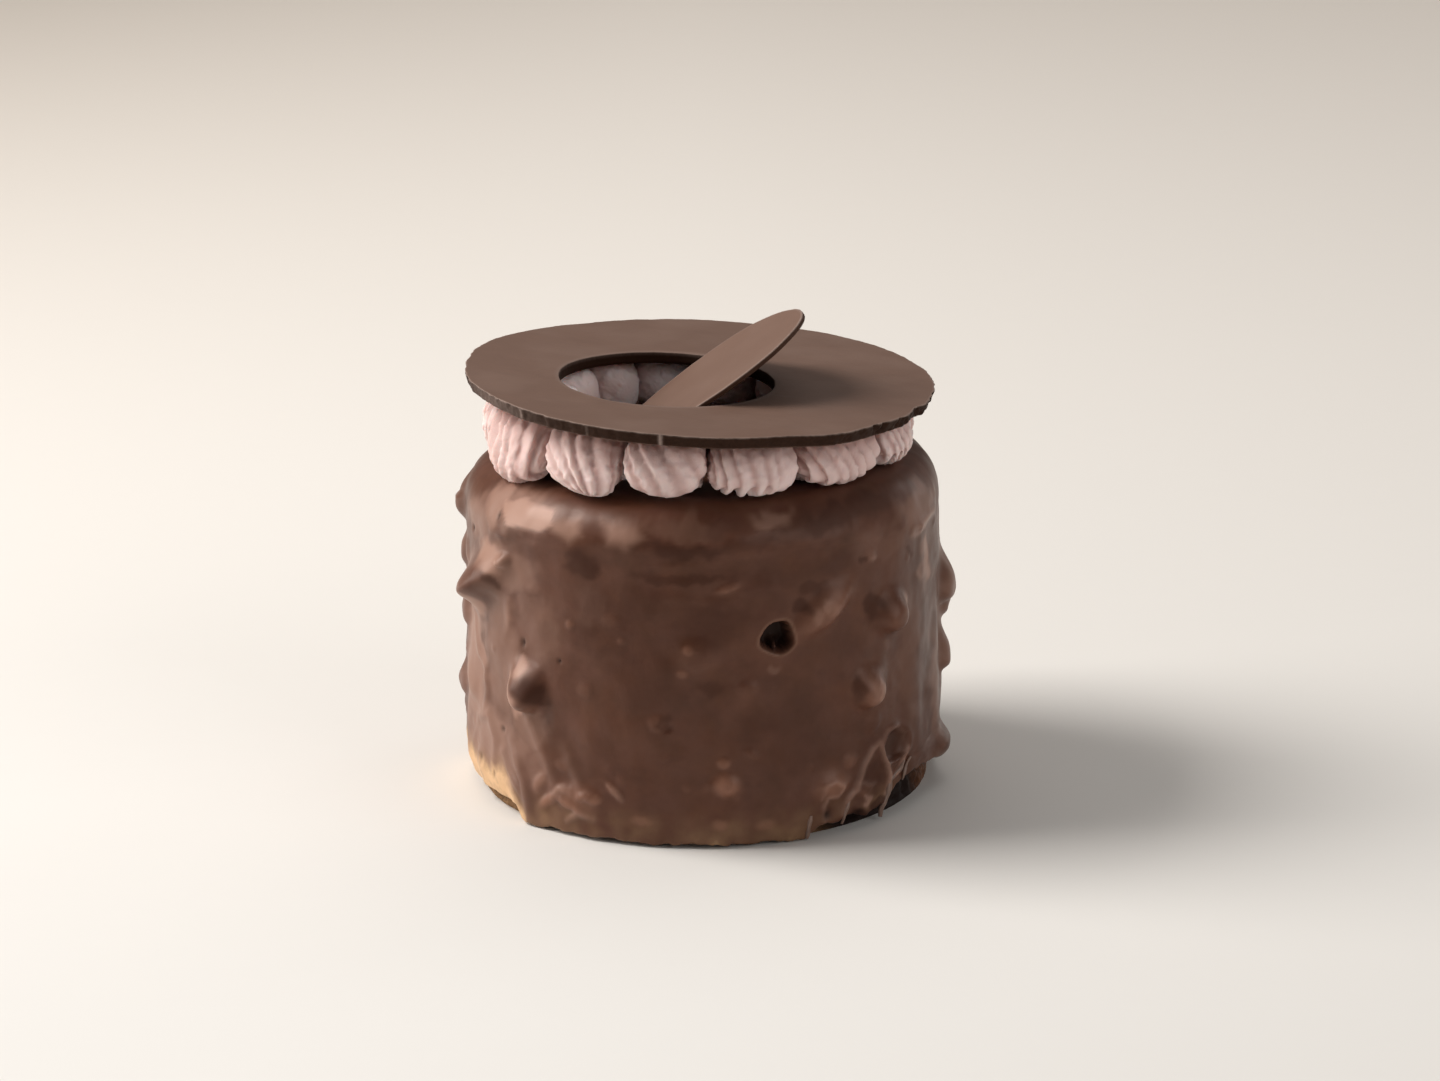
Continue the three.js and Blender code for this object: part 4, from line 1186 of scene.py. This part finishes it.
def shell_room(azimuth, order, sizes):
    """How far in a shell's tail reaches, and the room between the coat's top and the disc."""
    angle = math.radians(azimuth)
    tail = SHELL_TAIL + 0.9 * math.cos(angle) + 0.35 * math.sin(order * 1.9)
    away = turns_apart(azimuth, SHORTER_TAILS["azimuth"]) / SHORTER_TAILS["width"]
    tail += SHORTER_TAILS["by"] * bell(away)
    underside = disc_underside(SHELL_BEND * math.sin(angle), sizes["thickness"])
    return tail, underside - (REST_GAP + sizes["coat_top"])


def shell_ridges(form, order, ridges, around, along, across, level):
    """The ridges of a shell, from 0 in a groove up to 1: fanned out from its foot, or upright."""
    wander = 0.13 * np.sin(2 * around + order) + 0.10 * np.sin(5 * along + 2 * order)
    wander = wander + 0.05 * np.sin(5 * around + 3 * order)
    phase = ridges * (around - form["twist"] * (along - 0.2) * 2 + wander)
    if form["pitch"]:
        bent = 0.25 * np.sin(0.9 * level + order) + 0.35 * np.sin(0.7 * across + 2 * order)
        phase = 2 * np.pi * (across + bent) / form["pitch"]
    return 1 - (0.5 - 0.5 * np.cos(phase)) ** 1.3


def on_heading(angle, out, side, up):
    """Points out along a heading from the cake's axis, to its right, and up."""
    return np.stack(np.broadcast_arrays(
        out * math.sin(angle) + side * math.cos(angle),
        -out * math.cos(angle) + side * math.sin(angle), up), axis=-1)


def frothed(points, centre, order):
    """Points of a shell with the fine unevenness of whipped cream, away from its middle."""
    outward = points - centre
    outward /= np.maximum(np.linalg.norm(outward, axis=-1, keepdims=True), 0.1)
    froth = cloud(points, 0.9, 31 + order, 3) * 0.24 + cloud(points, 3.2, 61 + order, 2) * 0.30
    return points + froth[..., None] * outward


def shell_grid(start, end, order, settings, sizes):
    """One piped shell: a ridged drop that rises from its outer foot and turns inward."""
    form = {**USUAL_SHELL, **SHELL_FORMS[order % len(SHELL_FORMS)]}
    azimuth = (start + end) / 2
    angle = math.radians(azimuth)
    wedge = math.tan(math.radians((end - start) / 2))
    tail, room = shell_room(azimuth, order, sizes)
    along = (1 - np.cos(np.pi * np.arange(1, SHELL_ROWS + 1) / (SHELL_ROWS + 1))) / 2
    around = np.linspace(0, 2 * np.pi, SHELL_COLUMNS, endpoint=False)[None, :]
    middle_out, middle_up, head_out, head_up = shell_axis(tail, room, along)
    along = along[:, None]
    middle_up = middle_up + form["lift"] * (1 - smooth(0.1, 0.5, along))
    blunt = np.where(along < 0.5, form["foot"], SHELL_BLUNTNESS)
    fullness = (1 - np.abs(2 * along - 1) ** blunt) ** (1 / blunt)

    half_depth = lerp(room * SHELL_FULLNESS, SHELL_BULGE, np.abs(head_up))
    press = lerp(*SHELL_PRESSES, smooth(0.25, 0.6, along))
    half_width = wedge * middle_out * press * signed_power(np.sin(around), form["slimness"])
    level = middle_up - head_out * fullness * half_depth * np.cos(around)
    across = fullness * half_width + form["slant"] * (level - room / 2)
    ridge = shell_ridges(form, order, settings.ridges, around, along, across, level)
    depth = settings.ridge_depth * form["ridges"] * (0.85 + 0.3 * np.sin(3 * around + 1.7 * order))
    clear = smooth(0.0, 0.002, along) * (1 - smooth(0.55, 0.75, along))
    clear = clear * (1 - 0.9 * smooth(0.45, 0.9, form["worn"] * np.sin(around)))
    size = fullness * (1.05 - depth * clear * (1 - ridge))

    rise = size * half_depth * signed_power(np.cos(around), 0.95)
    out = middle_out + head_up * rise
    up = middle_up - head_out * rise
    limit = wedge * out - NEIGHBOUR_GAP / 2
    below = smooth(-0.1, 0.9, -np.cos(around)) * smooth(0.1, 0.3, along)
    reach = size * half_width * (1 - 0.16 * below * (1 - smooth(0.4, 0.6, along)))
    front = 1 - smooth(0.45, 0.7, along)
    reach = reach + form["lean"] * (smooth(0, room, up) - 0.4) * front
    tip = bell(fullness / 0.5) * (along < 0.5)
    toes = (1 - smooth(0.2, 2.4, level)) * (1 - smooth(0.3, 0.5, along))
    reach = reach + form["beak_at"] * tip
    up = up - form["beak"] * tip + 1.5 * form["teeth"] * toes * clear * (1 - ridge)
    points = on_heading(angle, out + 0.5 * form["beak"] * tip, soft_clip(reach, limit), up)

    # Under the disc, and no deeper than the coat
    underside = disc_underside(points[..., 0], sizes["thickness"])
    half_top = (underside - REST_GAP / 2 - sizes["coat_top"]) / 2
    pressed = half_top + soft_clip(up - half_top, half_top)
    points[..., 2] = sizes["coat_top"] + np.minimum(up, pressed)
    centre = on_heading(angle, middle_out, 0, middle_up + sizes["coat_top"])
    points = frothed(points, centre, order)
    floor = coat_floor(np.hypot(points[..., 0], points[..., 1]), angle, sizes)
    points[..., 2] = np.maximum(points[..., 2], floor - 0.05)

    # Painted shade: the grooves, the upper part under the disc and the shell's shade
    shade_under_disc = 0.75 * smooth(0.4, 0.95, level / room) * (1 - smooth(0.45, 0.6, along))
    groove = np.maximum((1 - ridge) * clear, form["shade"] + shade_under_disc)
    # Painted light on the inner ends
    painted_tail_light = np.broadcast_to(smooth(0.72, 0.85, along), groove.shape)
    return points, {"groove": mask_with_ends(groove), "tail": mask_with_ends(painted_tail_light)}


# Chocolate plates


def disc_outline(azimuth):
    """Radius of the disc at an azimuth: nearly round, uneven where it was snapped."""
    radius = DISC_RADIUS + 0.06 * np.sin(13 * np.radians(azimuth))
    for at, wide, out in DISC_LOBES:
        radius = radius + out * bell(turns_apart(azimuth, at) / wide)
    return radius


def marks_round(azimuth, *marks):
    """How strong the marks are at an azimuth."""
    strongest = np.zeros_like(azimuth)
    for at, wide, strength in marks:
        strongest = np.maximum(strongest, strength * bell(turns_apart(azimuth, at) / wide))
    return strongest


def disc_grid(settings):
    """The disc's section, swept round: hole, underside, snapped side, top and hole again."""
    thickness, hole_radius = settings.thickness / MM, settings.hole_radius / MM
    azimuth = np.linspace(-180, 180, DISC_COLUMNS, endpoint=False)[None, :]
    side = np.linspace(0.1, 0.93, 9)
    under = [(share, 0, 1, 0) for share in (0.15, 0.5, 0.85)]
    snapped = [(1, DISC_UNDERCUT * (share - 1), 1 - share, 1) for share in side]
    rim = [(1, -0.02, 0.045, 0.6), (1, -0.07, 0.015, 0.2), (1, -0.16, 0, 0)]
    face = [(share, 0, 0, 0) for share in (0.985, 0.95, 0.88, 0.75, 0.55, 0.35, 0.18, 0.06)]
    hole = [(0, 0.14, 0, 0), (0, 0.05, 0.02, 0.3), (0, 0, 0.07, 1), (0, 0, 0.35, 1),
            (0, 0, 0.7, 1), (0, 0, 0.95, 1)]
    rows = [(0, 0.1, 1, 0.5), *under, (1, -DISC_UNDERCUT - 0.1, 1, 0.4), *snapped, *rim, *face,
            *hole]
    share, offset, depth, sided = (np.array(column)[:, None] for column in zip(*rows))
    seam = on_turn(azimuth, DISC_RADIUS)
    ragged = cloud(seam, 2.2, 41, 4) * 0.16
    outer = on_turn(azimuth, disc_outline(azimuth) + ragged)
    inner = on_turn(azimuth, hole_radius + cloud(seam, 4.0, 42, 2) * 0.05)
    inner = inner + np.array([*HOLE_CENTRE, 0])
    way = on_turn(azimuth, 1.0)
    points = lerp(inner, outer, share[..., None]) + offset[..., None] * way
    points[..., 2] = -depth * thickness
    flakes = cloud(points, 1.5, 43, 3) * (0.22 + marks_round(azimuth, DISC_FLAKES)) - 0.04
    on_side = (share == 1) * sided
    points += np.minimum(flakes * on_side, 0.05)[..., None] * way
    cracks = marks_round(azimuth, *CRACKS)
    points += (0.06 * cracks * on_side)[..., None] * way
    ripple = cloud(points, 14.0, 44, 2) * 0.12
    points[..., 2] += ripple * (depth < 1)
    edge_line = 0.55 * (share == 1) * bell((depth - 0.03) / 0.05)
    hole_line = 0.35 * (share == 0) * bell((depth - 0.03) / 0.05)
    scuffs = marks_round(azimuth, DISC_SCUFFS) * on_side
    dust = np.maximum(edge_line + hole_line, cracks * on_side) + scuffs
    shape = points.shape[:2]
    masks = {"side": np.broadcast_to(np.clip(sided, 0, 1), shape).ravel(),
             "dust": np.broadcast_to(np.clip(dust, 0, 1), shape).ravel()}
    faces = ring_faces(*shape, closed=True)
    tilt = Matrix.Rotation(math.atan(DISC_SLOPE), 3, "Y")
    return points.reshape(-1, 3) @ np.array(tilt).T + np.array(DISC_MIDDLE), faces, masks


def petal_grid(settings):
    """The leaning plate: round above, drawn out below to its foot on the cake."""
    thickness = settings.petal_thickness / MM
    turn = np.linspace(0, 2 * np.pi, PETAL_COLUMNS, endpoint=False)[None, :]
    reach = np.where(np.cos(turn) > 0, PETAL_UPPER_REACH, PETAL_LOWER_REACH)
    rim = [(1, -0.14, -0.5, 0.4), (1, -0.03, -0.42, 1), (1, 0, -0.2, 1), (1, 0, 0.2, 1),
           (1, -0.03, 0.42, 0.7), (1, -0.13, 0.5, 0.1)]
    rows = [*((share, 0, -0.5, 0) for share in (0.3, 0.6, 0.85, 0.96)), *rim,
            *((share, 0, 0.5, 0) for share in (0.97, 0.9, 0.75, 0.5, 0.25))]
    share, offset, level, sided = (np.array(column)[:, None] for column in zip(*rows))
    x, y = reach * np.cos(turn), PETAL_HALF_WIDTH * np.sin(turn)
    line = np.stack([x, y, 0 * x], axis=-1)
    ragged = cloud(line, 2.6, 51, 3) * 0.07
    way = line / np.linalg.norm(line, axis=-1, keepdims=True)
    points = line * share[..., None] + (offset + ragged * share)[..., None] * way
    bow = 0.25 * (points[..., 1] / PETAL_HALF_WIDTH) ** 2
    points[..., 2] = level * thickness + bow - 0.12 + cloud(points, 9.0, 52, 2) * 0.05
    dust = 0.8 * (share == 1) * bell((level - 0.45) / 0.08)
    masks = {"side": mask_with_ends(np.broadcast_to(sided, points.shape[:2])),
             "dust": mask_with_ends(np.broadcast_to(dust, points.shape[:2]))}
    lean = np.array(Matrix.Rotation(-settings.lean, 3, "Y"))
    return points @ lean.T + np.array(PETAL_CENTRE), masks


# Settings


class CoatSettings(bpy.types.PropertyGroup):
    """The poured coat and the nuts under it."""

    radius: FloatProperty(
        name="Radius", description="Radius of the coated cake", default=32.75 * MM,
        min=0.01, unit="LENGTH")
    height: FloatProperty(
        name="Height", description="Height of the coat's top", default=46.4 * MM,
        min=0.01, unit="LENGTH")
    relief: FloatProperty(
        name="Nut relief", description="How far the nuts stand proud, against the real cake's",
        default=1.0, min=0, max=1.5)
    columns: IntProperty(
        name="Columns", description="Points round the coat", default=500, min=60, max=520)
    color: FloatVectorProperty(
        name="Chocolate", description="Colour of the coat where it is thick", subtype="COLOR",
        default=(0.080, 0.029, 0.0145), min=0, max=1)
    thin_color: FloatVectorProperty(
        name="Thin places", description="Colour of the coat where biscuit or nut shows through",
        subtype="COLOR", default=(0.70, 0.45, 0.25), min=0, max=1)
    # Pale places: painted highlight and sheen, with some coat that set paler
    pale_and_highlight_color: FloatVectorProperty(
        name="Pale places", description="Colour of the coat where it set paler",
        subtype="COLOR", default=(0.350, 0.203, 0.151), min=0, max=1)
    # Dark places: painted shade, with some coat that pooled darker
    dark_and_shade_color: FloatVectorProperty(
        name="Dark places", description="Colour of the coat where it pooled",
        subtype="COLOR", default=(0.036, 0.0095, 0.004), min=0, max=1)
    thread_color: FloatVectorProperty(
        name="Threads", description="Colour of the threads where the coat tore",
        subtype="COLOR", default=(0.22, 0.13, 0.095), min=0, max=1)
    roughness: FloatProperty(
        name="Roughness", description="Roughness of the coat", default=0.42, min=0, max=1,
        subtype="FACTOR")


class BiscuitSettings(bpy.types.PropertyGroup):
    """The biscuit under the coat."""

    radius: FloatProperty(
        name="Radius", description="Radius of the biscuit", default=31.0 * MM,
        min=0.01, unit="LENGTH")
    height: FloatProperty(
        name="Height", description="Height of the biscuit", default=6.8 * MM,
        min=0.001, unit="LENGTH")
    color: FloatVectorProperty(
        name="Crumb", description="Colour of the dry crumbs", subtype="COLOR",
        default=(0.30, 0.17, 0.085), min=0, max=1)


class CreamSettings(bpy.types.PropertyGroup):
    """The ring of piped cream."""

    ridges: IntProperty(
        name="Ridges", description="Teeth of the piping tip", default=12, min=4, max=30)
    ridge_depth: FloatProperty(
        name="Ridge depth", description="Depth of a groove, as a share of the shell's size",
        default=0.155, min=0, max=0.5, subtype="FACTOR")
    color: FloatVectorProperty(
        name="Cream", description="Colour of the ridges", subtype="COLOR",
        default=(0.79, 0.615, 0.585), min=0, max=1)
    # Painted shade: the grooves, the upper parts under the disc and shaded shells take this colour
    groove_shade_color: FloatVectorProperty(
        name="Grooves", description="Colour in the grooves", subtype="COLOR",
        default=(0.52, 0.31, 0.275), min=0, max=1)


class PlateSettings(bpy.types.PropertyGroup):
    """The thin chocolate disc and the plate that leans up through its hole."""

    thickness: FloatProperty(
        name="Disc thickness", description="Thickness of the disc", default=1.65 * MM,
        min=0.0005, unit="LENGTH")
    hole_radius: FloatProperty(
        name="Hole radius", description="Radius of the disc's hole", default=14.6 * MM,
        min=0.002, unit="LENGTH")
    petal_thickness: FloatProperty(
        name="Leaning plate's thickness", description="Thickness of the leaning plate",
        default=0.7 * MM, min=0.0003, unit="LENGTH")
    lean: FloatProperty(
        name="Lean", description="How far the leaning plate rises from level",
        default=math.radians(34.4), min=0, max=math.radians(80), subtype="ANGLE")
    color: FloatVectorProperty(
        name="Chocolate", description="Colour of the plates' faces", subtype="COLOR",
        default=(0.152, 0.091, 0.068), min=0, max=1)
    roughness: FloatProperty(
        name="Roughness", description="Roughness of the plates' faces", default=0.45,
        min=0, max=1, subtype="FACTOR")


class StageSettings(bpy.types.PropertyGroup):
    """The floor, the lights and the camera."""

    floor_color: FloatVectorProperty(
        name="Floor", description="Colour of the floor", subtype="COLOR",
        default=(0.78, 0.755, 0.725), min=0, max=1)
    backdrop_color: FloatVectorProperty(
        name="Backdrop", description="Colour of the floor far behind", subtype="COLOR",
        default=(0.74, 0.67, 0.60), min=0, max=1)
    key_power: FloatProperty(
        name="Key light", description="Power of the large light on the upper left",
        default=8.5, min=0, unit="POWER")
    window_power: FloatProperty(
        name="Window light", description="Power of the low light on the left", default=5.6,
        min=0, unit="POWER")
    side_power: FloatProperty(
        name="Side light", description="Power of the light in front, on the right",
        default=4.0, min=0, unit="POWER")
    back_power: FloatProperty(
        name="Back light", description="Power of the light behind, on the right",
        default=1.0, min=0, unit="POWER")
    ceiling_power: FloatProperty(
        name="Ceiling light", description="Power of the light above and behind", default=7.8,
        min=0, unit="POWER")
    fill: FloatProperty(
        name="Fill", description="Brightness of the light from all round", default=0.12, min=0)
    lens: FloatProperty(
        name="Lens", description="Focal length of the camera", default=110.175, min=10,
        unit="CAMERA")


# Operators


class CAKE_OT_coat(bpy.types.Operator):
    """Pours the coat over the cake and its nuts"""

    bl_idname = "cake.coat"
    bl_label = "Coat"

    def execute(self, context):
        settings = context.scene.cake_coat
        grid, masks = coat_grid(settings)
        points, faces = lathe(grid)
        coat = dress("poured_coat", points, faces, coat_finish(settings), masks)
        set_on_cake(coat, "chocolate_coat", "cake_body")
        return {"FINISHED"}


class CAKE_OT_threads(bpy.types.Operator):
    """Pulls the threads of chocolate where the coat has torn"""

    bl_idname = "cake.threads"
    bl_label = "Torn threads"

    def execute(self, context):
        settings = context.scene.cake_coat
        sizes = (settings.radius / MM, settings.height / MM)
        points, faces = joined([thread_mesh(path, radius, *sizes) for path, radius in THREADS])
        threads = dress("torn_threads", points, faces, thread_finish(settings))
        set_on_cake(threads, "chocolate_coat")
        return {"FINISHED"}


class CAKE_OT_biscuit(bpy.types.Operator):
    """Presses the biscuit base"""

    bl_idname = "cake.biscuit"
    bl_label = "Biscuit base"

    def execute(self, context):
        settings = context.scene.cake_biscuit
        grid, masks = biscuit_grid(settings)
        points, faces = lathe(grid)
        biscuit = dress("biscuit_crumb", points, faces, biscuit_finish(settings), masks)
        set_on_cake(biscuit, "biscuit", "biscuit_base")
        return {"FINISHED"}


class CAKE_OT_cream(bpy.types.Operator):
    """Pipes the ring of cream shells"""

    bl_idname = "cake.cream"
    bl_label = "Cream shells"

    def execute(self, context):
        settings = context.scene.cake_cream
        finish = cream_finish(settings)
        sizes = {"thickness": context.scene.cake_plates.thickness / MM,
                 "coat_radius": context.scene.cake_coat.radius / MM,
                 "coat_top": context.scene.cake_coat.height / MM}
        bounds = shell_bounds()
        for order, (start, end) in enumerate(zip(bounds, bounds[1:])):
            grid, masks = shell_grid(start, end, order, settings, sizes)
            points, faces = lathe(grid)
            shell = dress(f"piped_shell_{order + 1:02d}", points, faces, finish, masks)
            set_on_cake(shell, "cream", f"cream_shell_{order + 1:02d}")
        return {"FINISHED"}


class CAKE_OT_disc(bpy.types.Operator):
    """Lays the chocolate disc on the cream"""

    bl_idname = "cake.disc"
    bl_label = "Chocolate disc"

    def execute(self, context):
        settings = context.scene.cake_plates
        points, faces, masks = disc_grid(settings)
        finish = plate_finish(
            "disc_chocolate", settings, 1.0, DISC_SIDE_SHADE, (0, 0, 0.3), (0.12, 1, 1))
        disc = dress("snapped_disc", points, faces, finish, masks)
        set_on_cake(disc, "chocolate_plate", "chocolate_disc")
        return {"FINISHED"}


class CAKE_OT_petal(bpy.types.Operator):
    """Stands the leaning plate in the disc's hole"""

    bl_idname = "cake.petal"
    bl_label = "Leaning plate"

    def execute(self, context):
        settings = context.scene.cake_plates
        grid, masks = petal_grid(settings)
        points, faces = lathe(grid)
        finish = plate_finish(
            "petal_chocolate", settings, 1.10, PETAL_EDGE, (0, settings.lean, 0), (0.08, 1, 1))
        petal = dress("leaning_plate", points, faces, finish, masks)
        set_on_cake(petal, "chocolate_plate", "chocolate_petal")
        return {"FINISHED"}


def add_softbox(name, power, place, target, size, color):
    """A soft area light that faces its target."""
    light = bpy.data.lights.new(name, "AREA")
    light.shape = "RECTANGLE"
    light.size, light.size_y = size
    light.energy = power
    light.color = color
    softbox = bpy.data.objects.new(name, light)
    softbox.location = place
    softbox.rotation_euler = (Vector(target) - Vector(place)).to_track_quat("-Z", "Y").to_euler()
    bpy.context.scene.collection.objects.link(softbox)


def aim_camera(lens):
    """The camera stands where the photograph was taken from, and looks along its axis."""
    yaw, pitch, roll = map(math.radians, CAMERA_TURNS)
    forward = Vector((
        math.sin(yaw) * math.cos(pitch), math.cos(yaw) * math.cos(pitch), -math.sin(pitch)))
    level_right = Vector((math.cos(yaw), -math.sin(yaw), 0))
    level_up = level_right.cross(forward)
    right = math.cos(roll) * level_right + math.sin(roll) * level_up
    up = math.cos(roll) * level_up - math.sin(roll) * level_right
    data = bpy.data.cameras.new("camera")
    data.sensor_width = 36
    data.lens = lens
    data.clip_start = 0.01
    data.clip_end = 50
    camera = bpy.data.objects.new("camera", data)
    camera.matrix_world = (
        Matrix.Translation(CAMERA_PLACE)
        @ Matrix((right, up, -forward)).transposed().to_4x4())
    bpy.context.scene.collection.objects.link(camera)
    bpy.context.scene.camera = camera


class CAKE_OT_stage(bpy.types.Operator):
    """Sets the pale floor, the soft light and the camera"""

    bl_idname = "cake.stage"
    bl_label = "Stage"

    def execute(self, context):
        settings = context.scene.cake_stage
        points = np.array([(-1, -1, 0), (1, -1, 0), (1, 1, 0), (-1, 1, 0)]) * FLOOR_HALF / MM
        floor = dress("studio_floor", points, [(0, 1, 2, 3)], floor_finish(settings))
        for name, softbox in SOFTBOXES.items():
            add_softbox(f"{name}_light", getattr(settings, f"{name}_power"), *softbox)
        world = bpy.data.worlds.new("studio")
        world.use_nodes = True
        background = world.node_tree.nodes["Background"]
        background.inputs["Color"].default_value = ROOM_LIGHT
        background.inputs["Strength"].default_value = settings.fill
        context.scene.world = world
        context.scene.view_settings.view_transform = "Standard"
        aim_camera(settings.lens)
        return {"FINISHED"}


class CAKE_PT_panel(bpy.types.Panel):
    """The cake's pieces and their settings"""

    bl_idname = "CAKE_PT_panel"
    bl_label = "Chocolate hazelnut cake"
    bl_space_type = "VIEW_3D"
    bl_region_type = "UI"
    bl_category = "Cake"

    def draw(self, context):
        for operators, group in PANEL_ROWS:
            box = self.layout.box()
            for operator in operators:
                box.operator(operator.bl_idname)
            settings = getattr(context.scene, group)
            for name in settings.__annotations__:
                box.prop(settings, name)


PANEL_ROWS = [
    ((CAKE_OT_coat, CAKE_OT_threads), "cake_coat"),
    ((CAKE_OT_biscuit,), "cake_biscuit"),
    ((CAKE_OT_cream,), "cake_cream"),
    ((CAKE_OT_disc, CAKE_OT_petal), "cake_plates"),
    ((CAKE_OT_stage,), "cake_stage"),
]
GROUPS = {
    "cake_coat": CoatSettings,
    "cake_biscuit": BiscuitSettings,
    "cake_cream": CreamSettings,
    "cake_plates": PlateSettings,
    "cake_stage": StageSettings,
}
CLASSES = [*GROUPS.values(), *(op for ops, _ in PANEL_ROWS for op in ops), CAKE_PT_panel]


def register():
    for cls in CLASSES:
        bpy.utils.register_class(cls)
    for name, group in GROUPS.items():
        setattr(bpy.types.Scene, name, PointerProperty(type=group))


def unregister():
    for name in GROUPS:
        delattr(bpy.types.Scene, name)
    for cls in reversed(CLASSES):
        bpy.utils.unregister_class(cls)


def main():
    register()
    bpy.ops.cake.stage()
    bpy.ops.cake.coat()
    bpy.ops.cake.threads()
    bpy.ops.cake.biscuit()
    bpy.ops.cake.cream()
    bpy.ops.cake.disc()
    bpy.ops.cake.petal()


if __name__ == "__main__":
    main()
